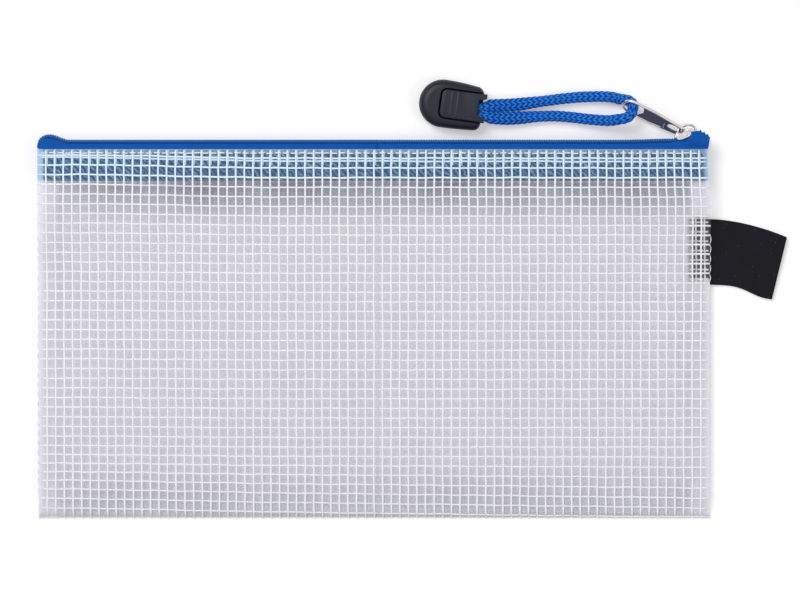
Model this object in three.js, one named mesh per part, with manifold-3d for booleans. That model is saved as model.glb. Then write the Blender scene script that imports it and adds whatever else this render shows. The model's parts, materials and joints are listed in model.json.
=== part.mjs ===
// A flat zipper pouch of clear mesh film, lying on its back: +X to the right along the
// zipper, +Y from the bottom fold to the zipper, +Z up from the table. Millimetres.
// The origin is the middle of the back panel, on the face that rests on the table.
import * as THREE from 'three';
import { mergeVertices } from 'three/addons/utils/BufferGeometryUtils.js';
import Module from 'manifold-3d';

const wasm = await Module();
wasm.setup();

// Pouch
const WIDTH = 230; // side seam to side seam
const HEIGHT = 130; // bottom fold to the top of the zipper chain
const FILM = 0.4; // mesh film, with the yarn in it
const GAP = 0.3; // left between two pieces that touch
const HEM_DROP = 3.8; // from the chain's top down to the film's upper edge
const SEAM_HEIGHT = 1.8; // room between the two films at the side seams
const FOLD_RISE = 8; // how far up from the fold the side seams reach that room
const LIP_RISE = 50; // how far below the chain the film starts rising to the zipper
const LIP_FLAT = 18; // how far below the chain it is level again
const BACK_LIP_RISE = 30; // how far below the chain the back film starts rising
const SEAM_TURN = 7; // width of film turned in along a side seam
const SEAM_LAYERS = 1.2; // thickness of the turned-in film
const SEAM_FOOT = 6; // how far above the fold the turned-in film starts
const SEAM_WALL = 0.8; // the seam itself, standing between the films
const THREAD = 0.35; // sewing thread
const STITCH_GAP = 0.1; // thread to the film that it is sewn through
const HEM_STITCH_DROP = 5; // from the chain's top down to the hem's stitches
const HEM_STITCH_END = 1; // from the side seam to the first of them
const CUTTER_REACH = 1; // how far a cutting block goes past what it cuts

// Zipper
const COIL_WIDTH = 1.95; // one coil, across the chain
const COIL_HEIGHT = 1.7;
const COIL_GAP = 0.3; // between the two meshed coils
const TAPE = 0.4; // tape thickness
const TAPE_ROOM = 0.2; // coil's side to the tape beside it
const TAPE_EDGE = 1; // from the chain's middle to the tape's inner edge
const TAPE_DEPTH = 14.5; // from the chain's top down to the tape's lower edge
const END_TAB = 3.8; // length of the cut tape end past the slider
const RIGHT_TAB_RISE = 2.7; // how far it stands above the chain
const LEFT_TAB = 11; // length of the turned-up tape end at the left
const LEFT_TAB_RISE = 1.3;
const PINKED_TEETH = 4; // teeth of the pinked cut
const PINKED_DEPTH = 0.7;

// Slider and its bridge
const SLIDER_LENGTH = 7.9;
const SLIDER_LIFT = 0.5; // slider's side above the table
const PLATE = 1; // each of the slider's two plates
const FLANGE = 0.5;
const FLANGE_DROP = 2; // height of the upper plate with its flanges
const INNER_PLATE_ROOM = 0.4; // lower plate to the tapes beside it
const POST_WIDTH = 1.2; // wedge that parts the two coils
const POST_LENGTH = 3;
const COIL_PARTING = 4.7; // from the slider's right end to where the coils start to part
const BRIDGE_WIDTH = 1.6;
const BRIDGE_STOCK = 0.9;
const BRIDGE_HEIGHT = 3.9; // above the upper plate
const BRIDGE_INSET = 0.1; // slider's left end to the bridge
const BRIDGE_END_INSET = 0.3; // slider's right end to the bridge
const BRIDGE_SHOULDER = 2; // height of its rounded front
const BRIDGE_CROWN_RUN = 3.2; // from its front to where it is highest
const PIVOT_BACK = 1.3; // bridge's inner front to the puller's pivot
const PIVOT_DROP = 1.2; // bridge's inner crown down to the pivot

// Puller: a long plate with an oval hole at the slider and an eye for the cord
const PULLER_LENGTH = 21.9; // pivot to far end
const PULLER_WIDTH = 7.6;
const PULLER_NECK = 4.6; // width at the pivot
const PULLER_THICKNESS = 1;
const PULLER_RAIL = 0.8;
const PULLER_BAR = 1.1; // bar that hangs in the bridge
const PULLER_CORNER = 0.8; // rounding of the bar's corners and bow of the eye's straight end
const PULLER_RECESS = 0.25; // depth of the sunk panel, each face
const PULLER_HOLE = 3.2; // width of the oval hole
const PULLER_HOLE_END = 5.4; // pivot to the hole's far end
const PANEL_START = 6.2;
const PANEL_END = 14.5;
const EYE_START = 15.3;
const PULLER_LEAN = 24.5; // degrees above the chain, pointing left
const PULLER_TWIST = 63; // degrees that the plate is rolled about its length

// Cord and cord end
const CORD = 3.5;
const STRANDS = 4; // between the two strands' middles in the cord end
const SHELL_LENGTH = 23;
const SHELL_WIDTH = 17.4;
const SHELL_MOUTH = 14; // width at the mouth
const SHELL_HEIGHT = 6.4;
const SHELL_ROUND = 1.2; // rounding of its edges
const SHELL_TURN = 7; // degrees that it slopes down to the right
const SHELL_MOUTH_X = 38.4;
const SHELL_MOUTH_RISE = 9.9; // mouth's middle above the chain's top
const SHELL_FLOOR = 0.9;
const CLIP_LENGTH = 15.5;
const CLIP_WIDTH = 10.2;
const CLIP_THICKNESS = 1.1;
const CLIP_PROUD = 0.6; // sticks out of the mouth
const CLIP_SUNK = 0.1; // below the shell's upper face
const CLIP_CORNER = 1.4;
const CAVITY_PAST_CLIP = 1; // how far the cavity goes on behind the clip
const KNOT_START = 7.7;
const KNOT_LENGTH = 7.4;

// Label
const LABEL_WIDTH = 22.5;
const LABEL_THICKNESS = 0.5;
const LABEL_MIDDLE = 26.15; // height of its root above the pouch's middle
const LABEL_INSIDE = 7.2; // length caught inside the seam
const LABEL_LENGTH = 26.5; // length outside, along its upper edge
const LABEL_ROOM = 2; // free length behind its root inside the seam
const LABEL_DROOP = 6.2; // how far its upper tip hangs below its root
const LABEL_LOW_DROOP = 5; // the same for its lower tip
const LABEL_BEND = 1.8; // power of the length that the droop follows
const LABEL_SETTLE = 0.4; // share of its length in which it comes down to the table
const LABEL_TIP_LIFT = 0.6; // how far the tip curls up again
const LABEL_SKEW = 5.1; // how much shorter its lower edge looks

// Heights and edges that follow from the sizes above
const right = WIDTH / 2;
const top = HEIGHT / 2;
const coilSide = COIL_GAP / 2 + COIL_WIDTH;
const tapeInside = coilSide + TAPE_ROOM;
const tapeOutside = tapeInside + TAPE;
const flangeInside = tapeOutside + GAP;
const sliderHalf = flangeInside + FLANGE;
const chainZ = sliderHalf + SLIDER_LIFT;
const hemInside = chainZ + tapeOutside + GAP;
const backLip = chainZ - tapeOutside - GAP - FILM;
const filmTop = top - HEM_DROP;
const coilUnder = top - COIL_HEIGHT;
const tapeTop = coilUnder - GAP;
const tapeUnder = tapeTop - TAPE;
const tapeEnd = top - TAPE_DEPTH;
const sliderRight = right - END_TAB;
const sliderLeft = sliderRight - SLIDER_LENGTH;
const plateUnder = top + GAP;
const plateTop = plateUnder + PLATE;

const smooth = (from, to, t) => {
  const s = Math.min(1, Math.max(0, (t - from) / (to - from)));
  return s * s * (3 - 2 * s);
};
const steps = (from, to, count) =>
  Array.from({ length: count + 1 }, (_, i) => from + ((to - from) * i) / count);
const point = (x, y, z = 0) => new THREE.Vector3(x, y, z);

// Underside of the back panel: flat on the table, lifted a little at the zipper.
const backUnder = (y) => backLip * smooth(top - BACK_LIP_RISE, top - LIP_FLAT, y);

// Inside of the front panel at the side seams: low along the seam, up at the zipper.
const seamInside = (y) =>
  FILM + GAP + (SEAM_HEIGHT - GAP) * smooth(-top, FOLD_RISE - top, y) +
  (hemInside - FILM - SEAM_HEIGHT) * smooth(top - LIP_RISE, top - LIP_FLAT, y);

// Inside of the front panel: an arch from the fold to the zipper, drawn down at the seams.
const frontInside = (x, y) => {
  const rise = Math.min(1, (y + top) / (HEIGHT - LIP_FLAT));
  const middle = FILM + GAP + (hemInside - FILM - GAP) * Math.sin((rise * Math.PI) / 2);
  const edge = seamInside(y);
  return edge + (middle - edge) * (1 - Math.pow(Math.abs(x) / right, 6));
};

// A closed sheet between two surfaces, each a function of u and v from 0 to 1.
function slab(columns, rows, lower, upper) {
  const positions = [];
  for (const surface of [lower, upper]) {
    for (let j = 0; j <= rows; j++) {
      for (let i = 0; i <= columns; i++) positions.push(...surface(i / columns, j / rows));
    }
  }
  const low = (i, j) => j * (columns + 1) + i;
  const high = (i, j) => low(i, j) + (columns + 1) * (rows + 1);
  const faces = [];
  const quad = (a, b, c, d) => faces.push(a, b, c, a, c, d);
  for (let j = 0; j < rows; j++) {
    for (let i = 0; i < columns; i++) {
      quad(high(i, j), high(i + 1, j), high(i + 1, j + 1), high(i, j + 1));
      quad(low(i, j), low(i, j + 1), low(i + 1, j + 1), low(i + 1, j));
    }
  }
  for (let i = 0; i < columns; i++) {
    quad(low(i, 0), low(i + 1, 0), high(i + 1, 0), high(i, 0));
    quad(low(i, rows), high(i, rows), high(i + 1, rows), low(i + 1, rows));
  }
  for (let j = 0; j < rows; j++) {
    quad(low(0, j), high(0, j), high(0, j + 1), low(0, j + 1));
    quad(low(columns, j), low(columns, j + 1), high(columns, j + 1), high(columns, j));
  }
  const geometry = new THREE.BufferGeometry();
  geometry.setAttribute('position', new THREE.Float32BufferAttribute(positions, 3));
  geometry.setIndex(faces);
  return geometry;
}

const outline = (points) => new THREE.Shape(points.map(([a, b]) => new THREE.Vector2(a, b)));
const extrude = (shape, depth, curveSegments = 8) =>
  new THREE.ExtrudeGeometry(shape, { depth, curveSegments, bevelEnabled: false });

// Prisms: an outline in XY carried along Z, in YZ carried along X, in ZX carried along Y.
const alongZ = (shape, from, to) => extrude(shape, to - from).translate(0, 0, from);
const alongX = (shape, from, to) =>
  extrude(shape, to - from)
    .applyMatrix4(new THREE.Matrix4().makeBasis(point(0, 1), point(0, 0, 1), point(1, 0)))
    .translate(from, 0, 0);
const alongY = (shape, from, to) =>
  extrude(shape, to - from)
    .applyMatrix4(new THREE.Matrix4().makeBasis(point(0, 0, 1), point(1, 0), point(0, 1)))
    .translate(0, from, 0);
const block = (x, y, z) =>
  new THREE.BoxGeometry(x[1] - x[0], y[1] - y[0], z[1] - z[0])
    .translate((x[0] + x[1]) / 2, (y[0] + y[1]) / 2, (z[0] + z[1]) / 2);

// Joins and cuts
function solid(geometry) {
  const bare = geometry.clone().deleteAttribute('normal').deleteAttribute('uv');
  const merged = mergeVertices(bare, 1e-4);
  return new wasm.Manifold(new wasm.Mesh({
    numProp: 3,
    vertProperties: new Float32Array(merged.attributes.position.array),
    triVerts: new Uint32Array(merged.index.array),
  }));
}
function surface(body) {
  const { vertProperties, triVerts, numProp } = body.getMesh();
  const positions = [];
  for (let i = 0; i < vertProperties.length; i += numProp) {
    positions.push(vertProperties[i], vertProperties[i + 1], vertProperties[i + 2]);
  }
  const geometry = new THREE.BufferGeometry();
  geometry.setAttribute('position', new THREE.Float32BufferAttribute(positions, 3));
  geometry.setIndex([...triVerts]);
  return geometry;
}
const join = (...parts) => surface(parts.map(solid).reduce((a, b) => a.add(b)));
const cut = (whole, ...tools) =>
  surface(tools.map(solid).reduce((a, b) => a.subtract(b), solid(whole)));

// Finishes
const finish = (color, roughness, metalness = 0, opacity = 1) =>
  new THREE.MeshStandardMaterial({ color, roughness, metalness, opacity, transparent: opacity < 1 });
const film = finish(0xd6d6de, 0.35, 0, 0.45);
const seamFilm = finish(0xe2e2ea, 0.5, 0, 0.8);
const thread = finish(0xf0f0f6, 0.8);
const tapeCloth = finish(0x0055af, 0.85);
const coilNylon = finish(0x0a4a96, 0.5);
const silver = finish(0xcfc9c8, 0.25, 1);
const braid = finish(0x005fd7, 0.8);
const blackPlastic = finish(0x2d303a, 0.45);
const blackCloth = finish(0x26262b, 0.9);

const group = new THREE.Group();
function add(name, geometry, material, parent = group) {
  const mesh = new THREE.Mesh(geometry, material);
  mesh.name = name;
  parent.add(mesh);
  return mesh;
}

// Film panels
const panel = (columns, rows, under) =>
  slab(columns, rows, ...[0, FILM].map((lift) => (u, v) => {
    const x = WIDTH * (u - 0.5);
    const y = (top + filmTop) * v - top;
    return [x, y, under(x, y) + lift];
  }));
add('back_panel', panel(4, 26, (x, y) => backUnder(y)), film);
add('front_panel', panel(26, 22, frontInside), film);

// Film turned in along each side seam, with the seam standing between the two films and
// between the two tapes. The right one makes room for the label's root.
const seamFloor = (y) => backUnder(y) + FILM + GAP;
function sideSeam(side) {
  const foot = SEAM_FOOT - top;
  const head = tapeEnd - GAP;
  const rows = steps(foot, head, 14);
  const tail = [...rows.map((y) => [y, seamFloor(y)]),
    ...rows.toReversed().map((y) => [y, Math.min(seamFloor(y) + SEAM_LAYERS, seamInside(y) - GAP)])];
  const wall = [...rows.map((y) => [y, seamFloor(y)]),
    [head, chainZ - tapeInside + GAP], [tapeUnder - GAP, chainZ - tapeInside + GAP],
    [tapeUnder - GAP, chainZ + tapeInside - GAP], [head, chainZ + tapeInside - GAP],
    ...rows.toReversed().map((y) => [y, seamInside(y) - GAP])];
  const outer = right - GAP;
  const span = (from, to) => (side > 0 ? [from, to] : [-to, -from]);
  return join(
    alongX(outline(tail), ...span(outer - SEAM_TURN, outer)),
    alongX(outline(wall), ...span(outer - SEAM_WALL, outer)),
  );
}
const labelHalf = LABEL_WIDTH / 2;
const labelSlot = block([right - LABEL_INSIDE - LABEL_ROOM, right + CUTTER_REACH],
  [LABEL_MIDDLE - labelHalf - GAP, LABEL_MIDDLE + labelHalf + GAP],
  [0, FILM + GAP + LABEL_THICKNESS + GAP]);
add('left_seam_allowance', sideSeam(-1), seamFilm);
add('right_seam_allowance', cut(sideSeam(1), labelSlot), seamFilm);

// Sewing thread: along each side seam, and along the hems that hold the tapes
const seamThreadZ = seamInside(0) - GAP;
for (const [name, side] of [['left_side_stitching', -1], ['right_side_stitching', 1]]) {
  const middle = side * (right + THREAD / 2);
  add(name, block([middle - THREAD / 2, middle + THREAD / 2], [FOLD_RISE - top, tapeEnd - LIP_FLAT],
    [seamThreadZ - THREAD, seamThreadZ]), thread);
}
const hemThreadY = top - HEM_STITCH_DROP;
for (const [name, z] of [
  ['front_stitching', hemInside + FILM + STITCH_GAP],
  ['back_stitching', backLip - STITCH_GAP - THREAD],
]) {
  add(name, block([HEM_STITCH_END - right, right - HEM_STITCH_END],
    [hemThreadY - THREAD, hemThreadY], [z, z + THREAD]), thread);
}

// Zipper tapes: each lies under its coil, turns down over the chain's side and hangs behind
// the film's hem. At both ends the tape stands up past the chain.
function pinkedTab() {
  const start = sliderRight + GAP;
  const cutFrom = [start + PINKED_DEPTH, top + RIGHT_TAB_RISE];
  const cutTo = [right + GAP, top];
  const edge = steps(0, 1, PINKED_TEETH * 2).map((t, i) => [
    cutFrom[0] + (cutTo[0] - cutFrom[0]) * Math.sin((t * Math.PI) / 2) - (i % 2) * PINKED_DEPTH,
    cutFrom[1] + (cutTo[1] - cutFrom[1]) * (1 - Math.cos((t * Math.PI) / 2)),
  ]);
  return outline([[right - GAP, tapeUnder], ...edge.toReversed(), [start, top + RIGHT_TAB_RISE],
    [start, tapeUnder]]);
}
function bumpedTab() {
  const start = GAP - right;
  const rise = steps(0, LEFT_TAB, 8).map((d) => [
    start + d,
    tapeTop + (COIL_HEIGHT + GAP + LEFT_TAB_RISE) * Math.sin((Math.PI * (d + 1)) / (LEFT_TAB + 1)),
  ]);
  return outline([[start, tapeUnder], [start + LEFT_TAB, tapeUnder], ...rise.toReversed()]);
}
function tape(side) {
  const z = (d) => chainZ + side * d;
  const section = outline([[tapeTop, z(TAPE_EDGE)], [tapeTop, z(tapeOutside)],
    [tapeEnd, z(tapeOutside)], [tapeEnd, z(tapeInside)],
    [tapeUnder, z(tapeInside)], [tapeUnder, z(TAPE_EDGE)]]);
  const faces = [z(tapeInside), z(tapeOutside)].sort((a, b) => a - b);
  return join(alongX(section, GAP - right, right - GAP),
    alongZ(pinkedTab(), ...faces), alongZ(bumpedTab(), ...faces));
}
add('front_tape', tape(1), tapeCloth);
add('back_tape', tape(-1), tapeCloth);

// Coils: meshed along the chain, parted by the slider's post at its right end
const coilSpread = POST_WIDTH / 2 + GAP - COIL_GAP / 2;
function coil(side) {
  const shift = (x) => coilSpread * smooth(sliderRight - COIL_PARTING, sliderRight - POST_LENGTH, x);
  const stops = [GAP - right, ...steps(sliderLeft, sliderRight, 8)];
  const inner = stops.map((x) => [chainZ + side * (COIL_GAP / 2 + shift(x)), x]);
  const outer = stops.map((x) => [chainZ + side * (coilSide + shift(x)), x]);
  return alongY(outline([...inner, ...outer.toReversed()]), coilUnder, top);
}
add('front_coil', coil(1), coilNylon);
add('back_coil', coil(-1), coilNylon);

// Slider: an upper plate with flanges over the chain, a lower plate inside the pouch, and
// the wedge-shaped post that joins them and parts the coils
function sliderBody() {
  const z = (d) => chainZ + d;
  const flangeEnd = plateTop - FLANGE_DROP;
  const channel = outline([
    [flangeEnd, z(sliderHalf)], [plateTop, z(sliderHalf)],
    [plateTop, z(-sliderHalf)], [flangeEnd, z(-sliderHalf)],
    [flangeEnd, z(-flangeInside)], [plateUnder, z(-flangeInside)],
    [plateUnder, z(flangeInside)], [flangeEnd, z(flangeInside)],
  ]);
  const halfLower = tapeInside - INNER_PLATE_ROOM;
  const lower = block([sliderLeft, sliderRight], [tapeUnder - GAP - PLATE, tapeUnder - GAP],
    [z(-halfLower), z(halfLower)]);
  const post = outline([[z(0), sliderRight - POST_LENGTH], [z(POST_WIDTH / 2), sliderRight - POST_LENGTH / 2],
    [z(POST_WIDTH / 2), sliderRight], [z(-POST_WIDTH / 2), sliderRight],
    [z(-POST_WIDTH / 2), sliderRight - POST_LENGTH / 2]]);
  return join(alongX(channel, sliderLeft, sliderRight), lower,
    alongY(post, tapeUnder - GAP - PLATE / 2, plateUnder + PLATE / 2));
}
const slider = new THREE.Group();
group.add(slider);
add('slider_body', sliderBody(), silver, slider);

// Bridge: a strip bowed over the upper plate, under which the puller's bar hangs
const bridgeFoot = plateTop + GAP;
const bridgeCrown = plateTop + BRIDGE_HEIGHT;
function bridge() {
  const left = sliderLeft + BRIDGE_INSET;
  const end = sliderRight - BRIDGE_END_INSET;
  const crown = left + BRIDGE_CROWN_RUN;
  const shoulder = bridgeCrown - BRIDGE_SHOULDER;
  const inside = bridgeCrown - BRIDGE_STOCK;
  const arch = new THREE.Shape();
  arch.moveTo(left, bridgeFoot);
  arch.lineTo(left, shoulder);
  arch.quadraticCurveTo(left, bridgeCrown, crown, bridgeCrown);
  arch.quadraticCurveTo(end, bridgeCrown, end, bridgeFoot);
  arch.lineTo(end - BRIDGE_STOCK, bridgeFoot);
  arch.quadraticCurveTo(end - BRIDGE_STOCK, inside, crown, inside);
  arch.quadraticCurveTo(left + BRIDGE_STOCK, inside, left + BRIDGE_STOCK, shoulder);
  arch.lineTo(left + BRIDGE_STOCK, bridgeFoot);
  arch.closePath();
  return alongZ(arch, chainZ - BRIDGE_WIDTH / 2, chainZ + BRIDGE_WIDTH / 2);
}
add('slider_bridge', bridge(), silver, slider);

// Puller, in its own frame: +X along its length from the pivot, +Y across, +Z through it
const pivot = point(sliderLeft + BRIDGE_INSET + BRIDGE_STOCK + PIVOT_BACK,
  bridgeCrown - BRIDGE_STOCK - PIVOT_DROP, chainZ);
const halfPuller = PULLER_WIDTH / 2;
const eyeMiddle = PULLER_LENGTH - halfPuller;
function pullerPlate() {
  const neck = PULLER_NECK / 2;
  const back = -PULLER_BAR / 2;
  const plate = new THREE.Shape();
  plate.moveTo(back + PULLER_CORNER, -neck);
  plate.quadraticCurveTo(PANEL_START / 2, -neck, PANEL_START, -halfPuller);
  plate.lineTo(eyeMiddle, -halfPuller);
  plate.absarc(eyeMiddle, 0, halfPuller, -Math.PI / 2, Math.PI / 2, false);
  plate.lineTo(PANEL_START, halfPuller);
  plate.quadraticCurveTo(PANEL_START / 2, neck, back + PULLER_CORNER, neck);
  plate.quadraticCurveTo(back, neck, back, neck - PULLER_CORNER);
  plate.lineTo(back, PULLER_CORNER - neck);
  plate.quadraticCurveTo(back, -neck, back + PULLER_CORNER, -neck);
  const hole = new THREE.Path();
  const holeHalf = PULLER_HOLE / 2;
  hole.moveTo(PULLER_BAR / 2, -holeHalf);
  hole.lineTo(PULLER_HOLE_END - holeHalf, -holeHalf);
  hole.absarc(PULLER_HOLE_END - holeHalf, 0, holeHalf, -Math.PI / 2, Math.PI / 2, false);
  hole.lineTo(PULLER_BAR / 2, holeHalf);
  hole.closePath();
  const eye = new THREE.Path();
  const eyeHalf = halfPuller - PULLER_RAIL;
  eye.moveTo(EYE_START, -eyeHalf);
  eye.absarc(eyeMiddle, 0, eyeHalf, -Math.PI / 2, Math.PI / 2, false);
  eye.lineTo(EYE_START, eyeHalf);
  eye.quadraticCurveTo(EYE_START + PULLER_CORNER, 0, EYE_START, -eyeHalf);
  plate.holes.push(hole, eye);
  const recess = (from, to) =>
    block([PANEL_START, PANEL_END], [PULLER_RAIL - halfPuller, halfPuller - PULLER_RAIL], [from, to]);
  const face = PULLER_THICKNESS / 2;
  return cut(alongZ(plate, -face, face), recess(face - PULLER_RECESS, face + CUTTER_REACH),
    recess(-face - CUTTER_REACH, PULLER_RECESS - face));
}
const lean = THREE.MathUtils.degToRad(PULLER_LEAN);
const twist = THREE.MathUtils.degToRad(PULLER_TWIST);
const along = point(-Math.cos(lean), Math.sin(lean));
const across = point(Math.sin(lean), Math.cos(lean)).multiplyScalar(Math.cos(twist))
  .add(point(0, 0, Math.sin(twist)));
const through = new THREE.Vector3().crossVectors(along, across);
const puller = new THREE.Group();
puller.applyMatrix4(new THREE.Matrix4().makeBasis(along, across, through).setPosition(pivot));
slider.add(puller);
add('puller', pullerPlate(), silver, puller);

// Cord end: a rounded shell with a cavity open at the mouth and a clip that closes its upper
// face. In its own frame +X runs from the mouth to the round end and +Z up.
const cordEnd = new THREE.Group();
const shellTurn = THREE.MathUtils.degToRad(180 - SHELL_TURN);
cordEnd.position.set(SHELL_MOUTH_X, top + SHELL_MOUTH_RISE, 0);
cordEnd.rotation.z = shellTurn;
slider.add(cordEnd);
const clipTop = SHELL_HEIGHT - CLIP_SUNK;
const clipUnder = clipTop - CLIP_THICKNESS;
const cavityHalf = (STRANDS + CORD) / 2 + GAP * 2;
function shell() {
  const half = SHELL_WIDTH / 2 - SHELL_ROUND;
  const mouth = SHELL_MOUTH / 2 - SHELL_ROUND;
  const shoulder = SHELL_LENGTH - SHELL_WIDTH / 2;
  const body = new THREE.Shape();
  body.moveTo(SHELL_ROUND, -mouth);
  body.lineTo(shoulder, -half);
  body.absarc(shoulder, 0, half, -Math.PI / 2, Math.PI / 2, false);
  body.lineTo(SHELL_ROUND, mouth);
  body.closePath();
  const rounded = new THREE.ExtrudeGeometry(body, {
    depth: SHELL_HEIGHT - 2 * SHELL_ROUND, curveSegments: 12,
    bevelEnabled: true, bevelSize: SHELL_ROUND, bevelThickness: SHELL_ROUND, bevelSegments: 3,
  }).translate(0, 0, SHELL_ROUND);
  const clipHalf = CLIP_WIDTH / 2 + GAP;
  return cut(rounded,
    block([-CUTTER_REACH, CLIP_LENGTH + CAVITY_PAST_CLIP], [-cavityHalf, cavityHalf],
      [SHELL_FLOOR, clipUnder]),
    block([-CUTTER_REACH, CLIP_LENGTH + GAP], [-clipHalf, clipHalf],
      [clipUnder - GAP, SHELL_HEIGHT + CUTTER_REACH]));
}
function clip() {
  const half = CLIP_WIDTH / 2;
  const plate = new THREE.Shape();
  plate.moveTo(-CLIP_PROUD, -half);
  plate.lineTo(CLIP_LENGTH - CLIP_CORNER, -half);
  plate.quadraticCurveTo(CLIP_LENGTH, -half, CLIP_LENGTH, CLIP_CORNER - half);
  plate.lineTo(CLIP_LENGTH, half - CLIP_CORNER);
  plate.quadraticCurveTo(CLIP_LENGTH, half, CLIP_LENGTH - CLIP_CORNER, half);
  plate.lineTo(-CLIP_PROUD, half);
  plate.closePath();
  return alongZ(plate, clipUnder, clipTop);
}
add('cord_end_shell', shell(), blackPlastic, cordEnd);
add('cord_end_clip', clip(), blackPlastic, cordEnd);

// Knot that keeps both cord ends inside the shell
const cordHeight = (SHELL_FLOOR + clipUnder) / 2;
const knotHalf = [KNOT_LENGTH / 2, cavityHalf - GAP, (clipUnder - SHELL_FLOOR) / 2 - GAP];
const knot = new THREE.SphereGeometry(1, 12, 8).rotateX(Math.PI / 2).scale(...knotHalf)
  .translate(KNOT_START + KNOT_LENGTH / 2, 0, cordHeight);
add('cord_knot', knot, braid, cordEnd);

// Cord: out of the shell, to the right, under the puller's upper rail, up through its eye,
// over its lower rail and back into the shell. Points along its middle.
const cordRoute = [
  [31.6, 77.7, 3.1], [35, 77.2, 3.1], [39.8, 76.8, 3.0], [44.5, 77.1, 2.6], [49.3, 77.5, 2.2],
  [57.1, 78.0, 1.9], [65.0, 78.8, 1.9], [72.9, 79.8, 1.9], [79, 80.3, 1.9], [82.6, 80.6, 2.2],
  [85.3, 80.5, 2.7], [87.6, 79.6, 3.2], [88.9, 77.8, 3.7], [89.1, 75.9, 4.0], [88.8, 74.0, 4.2],
  [87.5, 72.3, 4.1], [85.3, 71.3, 3.8], [82.6, 71.1, 3.4], [79, 71.4, 2.9], [72.9, 72.1, 2.1],
  [65.0, 72.8, 1.9], [57.1, 73.1, 1.9], [49.3, 73.1, 2.2], [44.5, 72.9, 2.6], [39.3, 72.8, 3.0],
  [35, 73.2, 3.1], [31.1, 73.7, 3.1],
].map((p) => point(...p));
const cordPath = new THREE.CatmullRomCurve3(cordRoute);
const cordSides = 8;
const section = outline(steps(0, 2 * Math.PI, cordSides).slice(1)
  .map((a) => [(CORD / 2) * Math.cos(a), (CORD / 2) * Math.sin(a)]));
add('pull_cord', new THREE.ExtrudeGeometry(section, { steps: 60, extrudePath: cordPath }), braid, slider);

// Label: a woven strip caught in the right seam, hanging a little and lying on the table
function label() {
  const root = right - LABEL_INSIDE;
  const inside = LABEL_INSIDE / (LABEL_INSIDE + LABEL_LENGTH);
  const edge = (t) => (u) => {
    const s = Math.max(0, (u - inside) / (1 - inside));
    const run = LABEL_LENGTH - LABEL_SKEW * (1 - t);
    const drop = LABEL_LOW_DROOP * (1 - t) + LABEL_DROOP * t;
    const x = u < inside ? root + (LABEL_INSIDE * u) / inside : right + run * s;
    return [x, LABEL_MIDDLE + LABEL_WIDTH * (t - 0.5) - drop * Math.pow(s, LABEL_BEND)];
  };
  const lift = (u) => {
    const s = Math.max(0, (u - inside) / (1 - inside));
    return (FILM + GAP) * (1 - smooth(0, LABEL_SETTLE, s)) + LABEL_TIP_LIFT * smooth(LABEL_SETTLE, 1, s);
  };
  const face = (rise) => (u, v) => [...edge(v)(u), lift(u) + rise];
  return slab(20, 4, face(0), face(LABEL_THICKNESS));
}
add('label', label(), blackCloth);

console.log(`cord length ${cordPath.getLength().toFixed(1)} mm`);

export default group;
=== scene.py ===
# %% [markdown]
# # A zipper pouch of mesh film
# The pouch is a sheet of clear film with a square net of white yarn laid into it, folded once at the
# bottom, sewn up at both sides and closed by a blue coil zipper. Everything here is built around a
# construction model that is loaded first: it says where each piece is and which body carries it.

# %% Load the construction model
import json
import math

import bmesh
import bpy
import numpy as np
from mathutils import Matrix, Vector


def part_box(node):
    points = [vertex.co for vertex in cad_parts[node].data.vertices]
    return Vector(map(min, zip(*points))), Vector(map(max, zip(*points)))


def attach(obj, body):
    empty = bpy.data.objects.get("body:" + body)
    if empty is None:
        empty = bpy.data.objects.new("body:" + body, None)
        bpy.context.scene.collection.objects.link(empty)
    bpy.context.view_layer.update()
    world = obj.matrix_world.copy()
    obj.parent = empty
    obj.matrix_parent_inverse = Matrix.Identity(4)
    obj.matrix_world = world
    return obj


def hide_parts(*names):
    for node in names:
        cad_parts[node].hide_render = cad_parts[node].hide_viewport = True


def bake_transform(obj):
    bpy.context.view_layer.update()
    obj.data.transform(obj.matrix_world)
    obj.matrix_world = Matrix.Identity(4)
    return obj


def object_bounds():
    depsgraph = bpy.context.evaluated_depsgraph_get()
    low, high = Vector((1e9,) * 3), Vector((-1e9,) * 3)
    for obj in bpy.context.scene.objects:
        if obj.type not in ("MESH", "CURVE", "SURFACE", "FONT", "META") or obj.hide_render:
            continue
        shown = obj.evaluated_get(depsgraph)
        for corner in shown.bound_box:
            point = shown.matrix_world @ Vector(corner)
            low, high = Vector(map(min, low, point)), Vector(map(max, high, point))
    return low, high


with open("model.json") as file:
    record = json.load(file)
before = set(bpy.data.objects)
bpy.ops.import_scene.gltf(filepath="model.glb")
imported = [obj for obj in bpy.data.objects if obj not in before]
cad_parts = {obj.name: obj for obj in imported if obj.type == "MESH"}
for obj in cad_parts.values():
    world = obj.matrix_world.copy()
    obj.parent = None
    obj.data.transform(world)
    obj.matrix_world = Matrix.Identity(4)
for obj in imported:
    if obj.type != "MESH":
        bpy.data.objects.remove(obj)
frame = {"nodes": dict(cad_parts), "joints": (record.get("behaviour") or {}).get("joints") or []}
cad_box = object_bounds()
MM = 0.001

# %% [markdown]
# ## Camera, light and floor
# The photograph looks straight down on a white table. A long lens keeps the sides of the pouch from
# showing. A large soft lamp from the upper left, a weak one from the right and a plain sky together
# light a colour at about the level at which it is written, and the floor is white to the camera only.

# %% Camera above the pouch, at the photograph's framing
PICTURE = (800, 600)
VIEW_SCALE = 0.3433 * MM  # metres of the object for a pixel of the picture
ORIGIN_PX = (374.3, 328.2)  # where the origin lies in that picture
CAMERA_HEIGHT = 1.25


def placed(name, data):
    """A new object in the scene."""
    made = bpy.data.objects.new(name, data)
    bpy.context.scene.collection.objects.link(made)
    return made


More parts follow.
